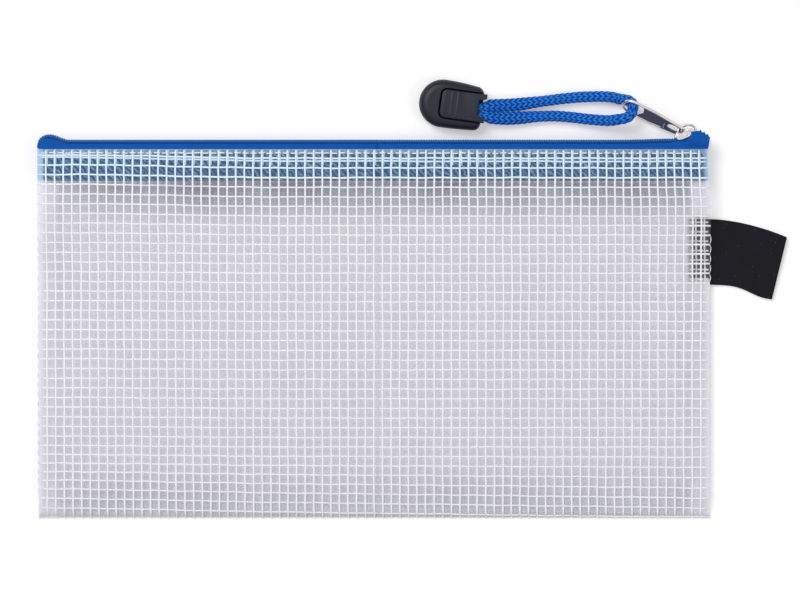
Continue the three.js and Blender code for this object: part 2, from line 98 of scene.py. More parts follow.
camera_data = bpy.data.cameras.new("camera")
camera = placed("camera", camera_data)
bpy.context.scene.camera = camera
to_right = PICTURE[0] / 2 - ORIGIN_PX[0]
to_top = ORIGIN_PX[1] - PICTURE[1] / 2
camera.location = (to_right * VIEW_SCALE, to_top * VIEW_SCALE, CAMERA_HEIGHT)
camera_data.lens = camera_data.sensor_width * CAMERA_HEIGHT / (PICTURE[0] * VIEW_SCALE)
camera_data.clip_start = 0.01
bpy.context.scene.view_settings.view_transform = "Standard"


# %% Lamps
def softbox(name, direction, distance, size, share):
    """A square lamp that shines at the pouch and gives this share of full light on a level surface."""
    data = bpy.data.lights.new(name, "AREA")
    data.size = size
    towards = Vector(direction).normalized()
    data.energy = share * math.pi ** 2 * distance ** 2 / towards.z
    lamp = placed(name, data)
    lamp.location = towards * distance
    lamp.rotation_euler = towards.to_track_quat("Z", "Y").to_euler()


softbox("key_lamp", (-0.55, 0.65, 1.1), distance=1.4, size=0.7, share=0.43)
softbox("fill_lamp", (0.9, -0.3, 0.8), distance=1.4, size=0.6, share=0.12)


# %% Node helpers
def connect(tree, node, inputs):
    """Sets inputs of a node, given by name or number, to sockets or plain values."""
    for label, value in inputs.items():
        if isinstance(value, bpy.types.NodeSocket):
            tree.links.new(value, node.inputs[label])
        else:
            node.inputs[label].default_value = value


def add(tree, kind, inputs, out=0, **settings):
    """A new node with these settings and inputs. Returns one of its outputs."""
    node = tree.nodes.new("ShaderNode" + kind)
    for label, value in settings.items():
        setattr(node, label, value)
    connect(tree, node, inputs)
    return node.outputs[out]


def calc(tree, operation, *values):
    """A Math node on sockets or plain numbers."""
    return add(tree, "Math", dict(enumerate(values)), operation=operation)


def mix(tree, factor, low, high):
    """A colour that is low where the factor is 0 and high where it is 1."""
    return add(tree, "Mix", {"Factor": factor, 6: low, 7: high}, 2, data_type="RGBA")


def between(tree, mask, low, high):
    """A number that goes from low where the mask is 0 to high where it is 1."""
    return add(tree, "MapRange", {"Value": mask, "To Min": low, "To Max": high})


def seen_directly(tree):
    """1 for a ray from the camera, off gloss or through glass, and 0 for light that falls on things."""
    ray = tree.nodes.new("ShaderNodeLightPath").outputs
    return calc(tree, "MAXIMUM", calc(tree, "MAXIMUM", ray["Is Camera Ray"], ray["Is Glossy Ray"]),
                ray["Is Transmission Ray"])


def new_material(name):
    """An empty material. Returns it with its node tree and its shader."""
    made = bpy.data.materials.new(name)
    made.use_nodes = True
    return made, made.node_tree, made.node_tree.nodes["Principled BSDF"]


# %% Sky, white where the camera, gloss or glass sees it
SKY_LIGHT = 0.49
world = bpy.data.worlds.new("studio")
bpy.context.scene.world = world
world.use_nodes = True
tree = world.node_tree
# metal needs something to show, so gloss sees a sky that is darker low down, as walls of a room are
upwards = add(tree, "SeparateXYZ", {0: add(tree, "TexCoord", {}, "Generated")}, "Z")
low_sky = add(tree, "ValToRGB", {0: upwards})
dark_end, white_end = low_sky.node.color_ramp.elements
dark_end.position = 0.12
dark_end.color = (0.22, 0.2, 0.21, 1)
white_end.position = 0.5
connect(tree, tree.nodes["Background"], {
    "Strength": between(tree, seen_directly(tree), SKY_LIGHT, 1.0),
    "Color": mix(tree, add(tree, "LightPath", {}, "Is Glossy Ray"), (1, 1, 1, 1), low_sky)})

# %% Floor
FLOOR_HALF = 3
floor_z = cad_box[0][2] - 0.05 * MM
floor_mesh = bpy.data.meshes.new("floor")
floor_corners = [(x * FLOOR_HALF, y * FLOOR_HALF, floor_z) for x, y in ((-1, -1), (1, -1), (1, 1), (-1, 1))]
floor_mesh.from_pydata(floor_corners, [], [(0, 1, 2, 3)])
placed("floor", floor_mesh)
floor_paint, tree, shader = new_material("floor_paint")
connect(tree, shader, {
    "Base Color": (0.76, 0.76, 0.77, 1), "Roughness": 0.9, "Emission Color": (1, 1, 1, 1),
    "Emission Strength": between(tree, seen_directly(tree), 0, 0.3)})
floor_mesh.materials.append(floor_paint)
print("camera, lamps and floor are in place")

# %% [markdown]
# ## Mesh helpers
# Every new piece is a surface worked out on a grid with numpy. Three helpers turn such grids into
# meshes: one closes a thin sheet between two grids, one makes many tubes at once, and one hands
# the arrays to Blender. The tubes carry a UV map whose u runs along the tube in millimetres.

# %% Meshes from arrays
EAST = np.array([1.0, 0.0, 0.0])
UP = np.array([0.0, 0.0, 1.0])


def smoothstep(low, high, t):
    """0 before low, 1 after high, and an s-curve between."""
    s = np.clip((t - low) / (high - low), 0, 1)
    return s * s * (3 - 2 * s)


def mesh_piece(name, points, faces, uv=None):
    """A smooth mesh from points in millimetres and a list of faces, with a uv for each corner or none."""
    mesh = bpy.data.meshes.new(name)
    mesh.from_pydata((np.asarray(points).reshape(-1, 3) * MM).tolist(), [], faces)
    if uv is not None:
        mesh.uv_layers.new(name="along").data.foreach_set("uv", np.asarray(uv, np.float32).ravel())
    mesh.polygons.foreach_set("use_smooth", np.ones(len(mesh.polygons), bool))
    mesh.update()
    return placed(name, mesh)


def closed_sheet(name, top, bottom):
    """A thin closed sheet between two grids of points whose rows run up and columns to the right: the
    faces of the top grid, those of the bottom grid, and a strip round the rim."""
    rows, columns = top.shape[:2]
    i, j = np.meshgrid(np.arange(rows - 1), np.arange(columns - 1), indexing="ij")
    a = (i * columns + j).ravel()
    faces = np.stack([a, a + 1, a + columns + 1, a + columns], 1)
    count = rows * columns
    rim = np.concatenate([
        np.arange(columns), np.arange(1, rows) * columns + columns - 1,
        count - 2 - np.arange(columns - 1), np.arange(rows - 2, 0, -1) * columns])
    after = np.roll(rim, -1)
    side = np.stack([rim, rim + count, after + count, after], 1)
    points = np.concatenate([top.reshape(-1, 3), bottom.reshape(-1, 3)])
    return mesh_piece(name, points, np.concatenate([faces, faces[:, ::-1] + count, side]).tolist())


def sheet_about(name, x, y, z, half):
    """A closed sheet that reaches half its thickness up and down from a middle grid."""
    return closed_sheet(name, *(np.stack([x, y, z + s * half], -1) for s in (1, -1)))


def face_outwards(piece, weld=False):
    """Turns the faces of a closed piece outwards. With weld, points that coincide are joined first."""
    work = bmesh.new()
    work.from_mesh(piece.data)
    if weld:
        bmesh.ops.remove_doubles(work, verts=work.verts, dist=1e-7)
    bmesh.ops.recalc_face_normals(work, faces=work.faces)
    work.to_mesh(piece.data)
    work.free()
    return piece


def point_values(piece, name, values):
    """Stores a number for each point of a mesh, which a material reads by its name."""
    stored = piece.data.attributes.new(name, "FLOAT", "POINT")
    stored.data.foreach_set("value", np.asarray(values, np.float32))


def points_of(piece):
    """The points of a mesh in millimetres, one row each."""
    flat = np.empty(len(piece.data.vertices) * 3, np.float32)
    piece.data.vertices.foreach_get("co", flat)
    return flat.reshape(-1, 3) / MM


# %% Tubes and paths
def tubes(name, paths, side, up, half_width, half_height, sides=6, taper=0):
    """Many closed tubes at once. Each point of a path gets an ellipse: the path, plus side times
    half_width times cosine, plus up times half_height times sine. With a taper the ends shrink."""
    paths = np.asarray(paths, float)
    count, steps = paths.shape[:2]
    angle = 2 * np.pi * np.arange(sides) / sides
    size = np.ones(steps)
    size[[0, -1]] -= taper
    ring = (
        np.broadcast_to(side, paths.shape)[:, :, None] * np.cos(angle)[:, None] * half_width
        + np.broadcast_to(up, paths.shape)[:, :, None] * np.sin(angle)[:, None] * half_height)
    points = paths[:, :, None] + ring * size[None, :, None, None]
    i, j, k = np.meshgrid(np.arange(count), np.arange(steps - 1), np.arange(sides), indexing="ij")
    corner = [(j, k), (j + 1, k), (j + 1, k + 1), (j, k + 1)]
    walls = np.stack([(i * steps + a) * sides + b % sides for a, b in corner], -1).reshape(-1, 4)
    run = np.concatenate(
        [np.zeros((count, 1)), np.linalg.norm(np.diff(paths, axis=1), axis=2).cumsum(1)], 1)
    wall_uv = np.stack([np.stack([run[i, a], b / sides], -1) for a, b in corner], -2).reshape(-1, 2)
    first = (np.arange(count) * steps * sides)[:, None] + np.arange(sides)
    caps = np.concatenate([first, (first + (steps - 1) * sides)[:, ::-1]])
    uv = np.concatenate([wall_uv, np.zeros((caps.size, 2))])
    return mesh_piece(name, points, walls.tolist() + caps.tolist(), uv)


def unit(v):
    """Vectors scaled to length 1."""
    return v / np.linalg.norm(v, axis=-1, keepdims=True)


def path_frame(path, hint):
    """Two directions square to a path at each of its points, the second as near to hint as can be."""
    along = unit(np.gradient(path, axis=-2))
    side = unit(np.cross(along, hint))
    return side, np.cross(side, along)


def curve_between(a, b, c, d, t):
    """The stretch from b to c of a Catmull-Rom curve through four points."""
    return 0.5 * (2 * b + (c - a) * t + (2 * a - 5 * b + 4 * c - d) * t ** 2
                  + (3 * b - a - 3 * c + d) * t ** 3)


def measured(path):
    """The length of a path up to each of its points."""
    return np.concatenate([[0], np.linalg.norm(np.diff(path, axis=0), axis=1).cumsum()])


def smooth_path(route, step):
    """A Catmull-Rom curve through the route, taken at equal steps of its length."""
    p = np.array(route, float)
    p = np.concatenate([[2 * p[0] - p[1]], p, [2 * p[-1] - p[-2]]])
    curve = curve_between(*(p[k:len(p) - 3 + k, None] for k in range(4)),
                          np.linspace(0, 1, 40, endpoint=False)[:, None])
    curve = np.concatenate([curve.reshape(-1, 3), p[-2:-1]])
    run = measured(curve)
    at = np.linspace(0, run[-1], int(round(run[-1] / step)) + 1)
    return np.stack([np.interp(at, run, curve[:, k]) for k in range(3)], 1), run[-1]


# %% [markdown]
# ## Shader helpers
# Cloth, film, thread, metal and plastic share a few effects. Each effect is a node group with named
# inputs, built once: a weave, a fine grain, a slow change of colour, and specks of lint. They are
# worked out in object coordinates or along a thread, so that nothing slides when the camera moves.

# %% Effects as node groups
def node_group(name, outputs, **inputs):
    """An empty node group with a Vector input and others that are given with their first values.
    Returns the group, what it is given, and the node that takes its results."""
    group = bpy.data.node_groups.new(name, "ShaderNodeTree")
    group.interface.new_socket(name="Vector", in_out="INPUT", socket_type="NodeSocketVector")
    for label, value in inputs.items():
        kind = "NodeSocketFloat" if isinstance(value, float) else "NodeSocketColor"
        group.interface.new_socket(name=label, in_out="INPUT", socket_type=kind).default_value = value
    for label, kind in outputs.items():
        group.interface.new_socket(name=label, in_out="OUTPUT", socket_type="NodeSocket" + kind)
    return group, group.nodes.new("NodeGroupInput").outputs, group.nodes.new("NodeGroupOutput")


def noise(tree, vector, scale, detail):
    """Noise from 0 to 1 with lumps of about 1 / scale."""
    return add(tree, "TexNoise", {"Detail": detail, "Vector": vector, "Scale": scale})


weave_group, given, result = node_group("plain_weave", {"Height": "Float"}, Warp=0.4, Weft=0.4)
place = add(weave_group, "SeparateXYZ", {0: given["Vector"]}).node.outputs
across, upward = (
    calc(weave_group, "DIVIDE", calc(weave_group, "MULTIPLY", place[axis], 1 / MM), given[width])
    for axis, width in (("X", "Warp"), ("Y", "Weft")))


def thread_height(tree, own, other):
    """One set of threads: round across, and dipping under every second thread that it meets."""
    crown = calc(tree, "ABSOLUTE", calc(tree, "SINE", calc(tree, "MULTIPLY", own, math.pi)))
    turn = calc(tree, "ADD", other, calc(tree, "FLOOR", own))
    dip = calc(tree, "COSINE", calc(tree, "MULTIPLY", turn, math.pi))
    return calc(tree, "MULTIPLY", crown, calc(tree, "MULTIPLY_ADD", dip, 0.35, 0.65))


shifted = calc(weave_group, "ADD", across, 1.0)
warp = thread_height(weave_group, across, upward)
weft = thread_height(weave_group, upward, shifted)
connect(weave_group, result, {"Height": calc(weave_group, "MAXIMUM", warp, weft)})

lint_group, given, result = node_group("lint", {"Mask": "Float"}, Scale=150.0, Amount=0.04)
specks = add(lint_group, "TexVoronoi", {"Vector": given["Vector"], "Scale": given["Scale"]}, "Distance",
             voronoi_dimensions="2D")
connect(lint_group, result, {"Mask": calc(lint_group, "LESS_THAN", specks, given["Amount"])})

tone_group, given, result = node_group(
    "two_tones", {"Color": "Color", "Mask": "Float"}, Scale=60.0, Dark=(0, 0, 0, 1), Light=(1, 1, 1, 1))
cloud = noise(tone_group, given["Vector"], given["Scale"], 3.0)
connect(tone_group, result, {"Color": mix(tone_group, cloud, given["Dark"], given["Light"]), "Mask": cloud})

grain_group, given, result = node_group("grain", {"Height": "Float"}, Scale=2000.0)
connect(grain_group, result, {"Height": noise(grain_group, given["Vector"], given["Scale"], 4.0)})


# %% Helpers for materials
def linear(r, g, b):
    """An sRGB colour from 0 to 255 as the linear colour that a shader takes."""
    c = np.array([r, g, b]) / 255
    return tuple(np.where(c <= 0.04045, c / 12.92, ((c + 0.055) / 1.055) ** 2.4).tolist()) + (1.0,)


def use(tree, group, out, **values):
    """One output of a node group, with the group's inputs set to numbers, colours or sockets."""
    return add(tree, "Group", values, out, node_tree=group)


def finish_material(name, dark, light, roughness, tone_scale, coordinates="Object", **sockets):
    """A Principled material whose base colour drifts between two tones. Returns it with its parts."""
    made, tree, shader = new_material(name)
    where = add(tree, "TexCoord", {}, coordinates)
    tone = use(tree, tone_group, "Color", Vector=where, Scale=tone_scale,
               Dark=linear(*dark), Light=linear(*light))
    gloss = between(tree, tone.node.outputs["Mask"], *roughness)
    connect(tree, shader, {"Base Color": tone, "Roughness": gloss})
    connect(tree, shader, {label.replace("_", " "): value for label, value in sockets.items()})
    return made, tree, shader, where


def read_values(tree, name):
    """The numbers that point_values stored under this name."""
    return add(tree, "Attribute", {}, "Fac", attribute_name=name)


def recolour(tree, shader, mask, colour):
    """Mixes a colour over the base colour where the mask is 1."""
    before = shader.inputs["Base Color"].links[0].from_socket
    connect(tree, shader, {"Base Color": mix(tree, mask, before, linear(*colour))})


def bump(tree, shader, height, distance, strength):
    """Bump of the given depth in millimetres from a height socket."""
    normal = add(tree, "Bump", {"Distance": distance * MM, "Strength": strength, "Height": height})
    connect(tree, shader, {"Normal": normal})


def grain(tree, shader, where, scale, distance, strength):
    """Bump from the fine grain."""
    bump(tree, shader, use(tree, grain_group, "Height", Vector=where, Scale=scale), distance, strength)


def along_y(tree, where, low, high):
    """0 below low and 1 above high, in millimetres up the pouch, with an s-curve between."""
    y = add(tree, "SeparateXYZ", {0: where}, "Y")
    return add(tree, "MapRange", {"Value": y, "From Min": low * MM, "From Max": high * MM},
               interpolation_type="SMOOTHSTEP")


def crown_shade_and_highlight(tree, shader, low_power, low, high_power, high):
    """Painted shade and highlight by the stored crown: a dark colour in the valleys, where it is 0, and a
    light one on the tops.
    """
    crown = read_values(tree, "crown")
    recolour(tree, shader, calc(tree, "POWER", between(tree, crown, 1.0, 0.0), low_power), low)
    recolour(tree, shader, calc(tree, "MULTIPLY", calc(tree, "POWER", crown, high_power), 0.6), high)


# %% Dressing a piece
def dress(pieces, paint, carrier=None):
    """Gives pieces their paint, and the body that they ride on. For a half of the front the
    carrier is its side, -1 or 1, and the piece is only baked where it stands."""
    for piece in pieces:
        piece.data.materials.append(paint)
        if carrier in (-1, 1):
            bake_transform(piece)
        elif carrier:
            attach(piece, carrier)


# %% [markdown]
# ## The braided cord
# The pull is a loop of round braid, about 3.8 mm thick: twelve strands wind each way, and each goes
# over two and under two. It comes out of the plastic end, passes through the puller's eye and goes
# back in. The strands are wound on the cord's route, so the chevrons of the braid are real ridges.

# %% Cord route and its smooth path
CORD_ROUTE = [  # millimetres
    (31.6, 76.6, 3.1), (35.5, 75.7, 3.1), (37.6, 75.8, 3.1), (40.3, 76.2, 2.9), (43.0, 76.3, 2.6),
    (48.5, 76.6, 2.2), (53.9, 77.3, 1.95), (59.4, 78.0, 1.95), (64.9, 78.7, 1.95), (70.3, 79.2, 1.95),
    (75.8, 79.4, 1.95), (78.5, 79.4, 2.0), (81.3, 79.2, 2.1), (84.0, 78.6, 1.95), (87.3, 77.8, 3.7),
    (88.4, 76.3, 5.4), (88.3, 74.8, 6.2), (87.7, 73.2, 6.2), (86.2, 71.9, 6.2), (84.0, 71.5, 6.0),
    (81.3, 71.1, 4.6), (78.5, 71.1, 4.0), (73.1, 71.6, 2.8), (67.6, 72.3, 2.1), (62.1, 72.7, 1.95),
    (56.7, 72.6, 1.95), (51.2, 72.2, 2.0), (45.7, 71.9, 2.4), (43.0, 72.0, 2.6), (40.3, 72.2, 2.9),
    (37.6, 72.8, 3.1), (35.5, 72.9, 3.1), (31.1, 73.5, 3.1),
]
CORD_RADIUS = 1.95
PINCH = 0.27  # how much thinner the cord is where the plastic end grips it
SWELL = 0.24  # how much wider it is just after that
PINCH_FROM = (8.5, 5)  # distances from the cord's end between which it gets thinner
SWELL_FROM = (5.5, 9)
SWELL_TO = (27, 17)
LAY = 23.0  # length in which a strand goes once round
STRANDS_EACH_WAY = 12
STRAND_HALF = (0.43, 0.3)  # across and through
STRAND_SINK = 0.52  # how far under the cord's radius the middle of a strand lies
STRAND_WEAVE = 0.24  # how far it goes out and in from there
CORE_RADIUS = 1.25
CORD_STEP = 0.42
cord_path, cord_length = smooth_path(CORD_ROUTE, CORD_STEP)
print(f"cord length {cord_length:.1f} mm in {len(cord_path)} points")


# %% Strands wound on the path
def braid(name, path, radius):
    """Strands on a cord: strand k is at angle 2 pi (k / 12 +- run / lay) round the path. The cord
    has twelve sectors. In every other one the strands of one set are outside, and in the sectors
    between those the strands of the other set, so each strand goes over two and under two."""
    side, up = path_frame(path, UP)
    run = np.arange(len(path)) * CORD_STEP
    from_end = np.minimum(run, run[-1] - run)
    radius = radius * (1 - PINCH * smoothstep(*PINCH_FROM, from_end))
    wide = 1 + SWELL * smoothstep(*SWELL_FROM, from_end) * smoothstep(*SWELL_TO, from_end)
    strands, sides, ups = [], [], []
    for way, k in ((way, k) for way in (1, -1) for k in range(STRANDS_EACH_WAY)):
        angle = 2 * np.pi * (k / STRANDS_EACH_WAY + way * run / LAY)
        sector = np.sin(angle * STRANDS_EACH_WAY / 2)
        height = radius - STRAND_SINK + way * STRAND_WEAVE * np.tanh(2 * sector) / np.tanh(2)
        outwards = side * (np.cos(angle) * wide)[:, None] + up * np.sin(angle)[:, None]
        strands.append(path + outwards * height[:, None])
        ups.append(unit(outwards))
        sides.append(unit(np.cross(unit(np.gradient(strands[-1], axis=0)), ups[-1])))
    piece = tubes(name, np.array(strands), np.array(sides), np.array(ups), *STRAND_HALF)
    ring = points_of(piece).reshape(len(strands), len(path), 6, 3) - path[None, :, None]
    aside = (ring * side[None, :, None]).sum(-1) / wide[None, :, None]
    upwards = (ring * up[None, :, None]).sum(-1)
    # crown: 0 down in the cord and 1 on the outer tops of the strands, read by the material for painted shade
    # and highlight
    crown = np.clip((np.hypot(aside, upwards) - radius[None, :, None] + 0.75) / 0.8, 0, 1)
    point_values(piece, "crown", crown.ravel())
    return piece


braided = braid("pull_cord_braid", cord_path, CORD_RADIUS)
core_frame = path_frame(cord_path[::3], UP)
core = tubes("pull_cord_core", cord_path[None, ::3], *core_frame, CORE_RADIUS, CORE_RADIUS, 12)

# %% Cord material: bright blue multifilament, with painted shade in the valleys and painted highlights on the tops
cord_blue, tree, shader, where = finish_material(
    "cord_blue", (0, 88, 190), (0, 112, 220), (0.45, 0.65), 500.0, "UV", Specular_IOR_Level=0.22)
bump(tree, shader, calc(tree, "SINE", calc(tree, "MULTIPLY", noise(tree, where, 3.0, 2.0), 40.0)), 0.03, 0.5)
# painted shade in the valleys between strands and painted highlights on their tops
crown_shade_and_highlight(tree, shader, 0.9, (0, 14, 100), 7.0, (60, 164, 255))
# the core is real, but its dark blue is painted shade for the gaps between the strands, where it shows
core_blue = finish_material(
    "cord_core_blue", (0, 28, 96), (0, 38, 120), (0.7, 0.8), 500.0, Specular_IOR_Level=0.1)[0]
dress([braided], cord_blue)
dress([core], core_blue)
for piece in (braided, core):
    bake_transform(piece)
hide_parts("pull_cord")
print("cord:", len(braided.data.polygons), "faces")

# %% [markdown]
# ## Sizes taken from the construction model
# The film hangs on the zipper, so its shape follows from a few heights: the middle of the chain, the
# inside of the two hems and the bottom fold. They are read from the loaded pieces.

# %% Sizes
def box_of(node):
    """The low and the high corner of a construction piece, in millimetres."""
    return [np.array(corner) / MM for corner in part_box(node)]


label_low, label_high = box_of("label")
slider_low, slider_high = box_of("slider_body")
tape_low = box_of("back_tape")[0]
tape_high = box_of("front_tape")[1]
RIGHT, FILM_TOP = box_of("front_panel")[1][:2]
BOTTOM = box_of("front_panel")[0][1]
TOP = box_of("front_coil")[1][1]
FILM = 0.4  # room for a panel with its yarns
GAP = 0.3  # air between layers
CHAIN_Z = (tape_high[2] + tape_low[2]) / 2
TAPE_OUT = tape_high[2] - CHAIN_Z
HEM_INSIDE = CHAIN_Z + TAPE_OUT + GAP
BACK_LIP = CHAIN_Z - TAPE_OUT - GAP - FILM
TAPE_LOW_Y = tape_low[1]
print(f"chain at z {CHAIN_Z:.2f}, hem inside {HEM_INSIDE:.2f}, film from y {BOTTOM:.1f} to {FILM_TOP:.1f}")


def back_under(y):
    """Underside of the back panel: on the table, and lifted a little towards the zipper."""
    return BACK_LIP * smoothstep(TOP - 30, TOP - 18, y)


def seam_inside(y):
    """Inside of the front panel along a side seam: low, and rising to the zipper over 32 mm."""
    return (FILM + GAP + 1.5 * smoothstep(BOTTOM, BOTTOM + 8, y)
            + (HEM_INSIDE - FILM - 1.8) * smoothstep(TOP - 50, TOP - 18, y))


def front_inside(x, y):
    """Inside of the front panel: a sine arch from the fold to the zipper, drawn down to the seam's
    height at both sides by the sixth power of x."""
    rise = np.clip((y - BOTTOM) / (TOP - BOTTOM - 18), 0, 1)
    middle = FILM + GAP + (HEM_INSIDE - FILM - GAP) * np.sin(rise * np.pi / 2)
    edge = seam_inside(y)
    return edge + (middle - edge) * (1 - np.abs(x / RIGHT) ** 6)


# %% [markdown]
# ## Film panels
# Each panel is a thin closed sheet. The front one opens with the zipper, so it is made in two
# halves: the left half runs from the left seam to the middle, and the right half from there to the right
# seam. Slow waves of a tenth of a millimetre or two keep the film from looking pressed.

# %% Waves in the film
FILM_WAVE = 0.22
DRAWN_IN = 1.1


def ripple(x, y, seed):
    """A sum of four slow sine waves in x and y, in millimetres, the same for the same seed."""
    rng = np.random.default_rng(seed)
    total = 0
    for _ in range(4):
        wave = rng.uniform(18, 60)
        turn = rng.uniform(0, 2 * np.pi)
        phase = rng.uniform(0, 2 * np.pi)
        total = total + np.sin(2 * np.pi * (x * np.cos(turn) + y * np.sin(turn)) / wave + phase)
    return total / 4


def calm(x, y):
    """1 over most of a panel and 0 at its edges, so that ripples leave the seams alone."""
    return (smoothstep(0, 14, RIGHT - np.abs(x)) * smoothstep(0, 10, y - BOTTOM)
            * smoothstep(0, 16, FILM_TOP - y))


def front_film(x, y):
    """Middle of the front film."""
    return front_inside(x, y) + FILM * 0.5 + FILM_WAVE * ripple(x, y, 3) * calm(x, y)


def back_film(x, y):
    """Middle of the back film."""
    return back_under(y) + FILM * 0.5 + 0 * x


def drawn(x, y):
    """x after the closed end of the zipper has drawn the cloth in by about a millimetre."""
    return x - DRAWN_IN * smoothstep(34, 61, y) * np.clip(x / RIGHT, 0, 1) ** 4


# %% Sheets of film
FILM_SKIN = 0.08  # the film itself, between the yarns
SPLIT = 1.37  # the halves of the front meet here, in the middle of a cell
FOLD_Y = BOTTOM + 0.4  # the film turns round the fold below this
FRONT_HALVES = (("left", -RIGHT, SPLIT, -1), ("right", SPLIT, RIGHT, 1))


def film_columns(x_from, x_to):
    """Column places with a thin column at each end, which keeps the shading there level."""
    return np.concatenate([[x_from, x_from + 0.02], np.linspace(x_from, x_to, 60)[1:-1], [x_to - 0.02, x_to]])


def film_sheet(name, x_from, x_to, height, y_from=FOLD_Y, y_to=FILM_TOP):
    """A film from one x to another, at the height that the function gives."""
    x, y = np.meshgrid(film_columns(x_from, x_to), np.linspace(y_from, y_to, 64))
    return sheet_about(name, drawn(x, y), y, height(x, y), FILM_SKIN / 2)


OPEN_HAZE = 0.25
TAPE_HAZE = 0.02  # where the film lies on the tape
LABEL_HAZE = 0.03
SEAM_HAZE = 0.1  # what these places add to it
RIM_HAZE = 0.2
TOP_EDGE_HAZE = 0.15
TAPE_END_HAZE = 0.5
BOTTOM_HAZE = -0.04


def set_haze(piece):
    """How milky each point of a film is, and how much painted shade greys it. It is clear on the tape and the
    label, and milky along the sides, where two layers rub, and at folded edges. Painted shade greys it in a
    band under the tape, standing for the tape's shadow where the film stands off the table, and a little at
    the bottom."""
    x, y, _ = points_of(piece).T
    out = np.abs(x)
    on_tape = smoothstep(TAPE_LOW_Y - 0.4, TAPE_LOW_Y + 0.4, y)
    on_label = (x > label_low[0] - 0.5) & (y > label_low[1] + 6) & (y < label_high[1] + 0.6)
    side = smoothstep(RIGHT - 8.5, RIGHT - 6.5, out) + smoothstep(RIGHT - 1.4, RIGHT - 0.6, out)
    haze = OPEN_HAZE + SEAM_HAZE * side + RIM_HAZE * smoothstep(RIGHT - 2.6, RIGHT - 0.8, out)
    haze = np.where(on_label, LABEL_HAZE, haze + BOTTOM_HAZE * smoothstep(-48, -60, y))
    haze = haze + (TAPE_HAZE - haze) * on_tape
    haze = haze + TOP_EDGE_HAZE * smoothstep(FILM_TOP - 2.1, FILM_TOP - 1.1, y)
    haze = haze + TAPE_END_HAZE * smoothstep(RIGHT - 1.9, RIGHT - 0.5, out) * on_tape
    point_values(piece, "haze", haze)
    # painted shade: a band under the tape for its shadow, weaker at the left end, plus the bottom; none along
    # the sides
    band = smoothstep(34, 49, y) * (1 - on_tape) * (0.5 + 0.5 * smoothstep(-108, -60, x))
    shade = band + 0.45 * smoothstep(-44, -64, y)
    point_values(piece, "shade", shade * (1 - np.minimum(side, 1)))


# %% Film material
film_clear, tree, shader, where = finish_material(
    "film_clear", (236, 234, 246), (250, 249, 255), (0.22, 0.4), 90.0)
# painted shade: the film's colour is greyed, unevenly, where the stored shade is high
uneven = calc(tree, "ADD", noise(tree, where, 45.0, 2.0), 0.25)
recolour(tree, shader, calc(tree, "MULTIPLY", read_values(tree, "shade"), uneven), (92, 98, 126))
# over the tape the film is painted light blue, as painted light from the tape coming through it, and short
# slanting streaks make it more opaque there as painted highlights
on_tape = along_y(tree, where, TAPE_LOW_Y - 0.5, TAPE_LOW_Y + 0.2)
recolour(tree, shader, on_tape, (190, 222, 252))
waves = add(
    tree, "TexWave", {"Scale": 300.0, "Distortion": 5.0, "Detail": 1.0, "Detail Scale": 1.5, "Vector": where},
    "Fac", bands_direction="DIAGONAL")
patches = calc(tree, "MULTIPLY", noise(tree, where, 170.0, 1.0), noise(tree, where, 420.0, 1.0))
streak = calc(tree, "MULTIPLY", calc(tree, "POWER", waves, 3.0), calc(tree, "MULTIPLY", patches, 0.4))
alpha = calc(tree, "ADD", read_values(tree, "haze"), calc(tree, "MULTIPLY", streak, on_tape))
connect(tree, shader, {"Alpha": calc(tree, "MINIMUM", alpha, 1.0)})
grain(tree, shader, where, 260.0, 0.12, 0.6)


# %% Film pieces
def lay_film(film, carrier):
    """Finishes a sheet of film: its haze, its paint and its carrier."""
    set_haze(film)
    dress([film], film_clear, carrier)


for half, x_from, x_to, side in FRONT_HALVES:
    film = film_sheet("front_film_" + half, x_from, x_to, front_film)
    lay_film(film, side)
    if half == "left":
        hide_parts("front_panel")
film = film_sheet("back_film", -RIGHT, RIGHT, back_film)
lay_film(film, "root")
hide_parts("back_panel")
print("film panels done")

# %% [markdown]
# ## Yarn
# The net in the film is 78 cells wide and 38 high. Each yarn is a flat ribbon of fibres about 0.7 mm
# wide, so it is a tube with an elliptical section that follows the film. The upright yarns lie just
# above the level ones. A small wander from cell to cell keeps the net from looking printed.

# %% Yarn tubes
CELL_X = 2.946
CELL_Y = 3.313
FIRST_ROW = 49.2  # height of a level yarn in the photograph, from which the others are counted
YARN_HALF = (0.33, 0.13)  # across and through
YARN_RAISED = 0.07  # how far upright yarns lie over the middle of the film, and level ones under it
YARN_STEP = 2.2
YARN_WANDER = 0.16


def yarn_sag(x, y):
    """How far the level yarns hang below straight lines, in millimetres. The net was sewn in with
    a slight pull, so its rows lie about a millimetre low but for the left end."""
    upper = smoothstep(-105, -30, x) * (0.44 + 0.65 * smoothstep(5, 55, y))
    return upper + (0.013 * x - 0.44) * smoothstep(-38, -60, y)


def yarn_places(start, end, first, cell):
    """Where yarns lie between two ends: one cell apart, and counted from the first."""
    low = math.ceil((start + 0.3 - first) / cell)
    high = math.floor((end - 0.3 - first) / cell)
    return first + np.arange(low, high + 1) * cell


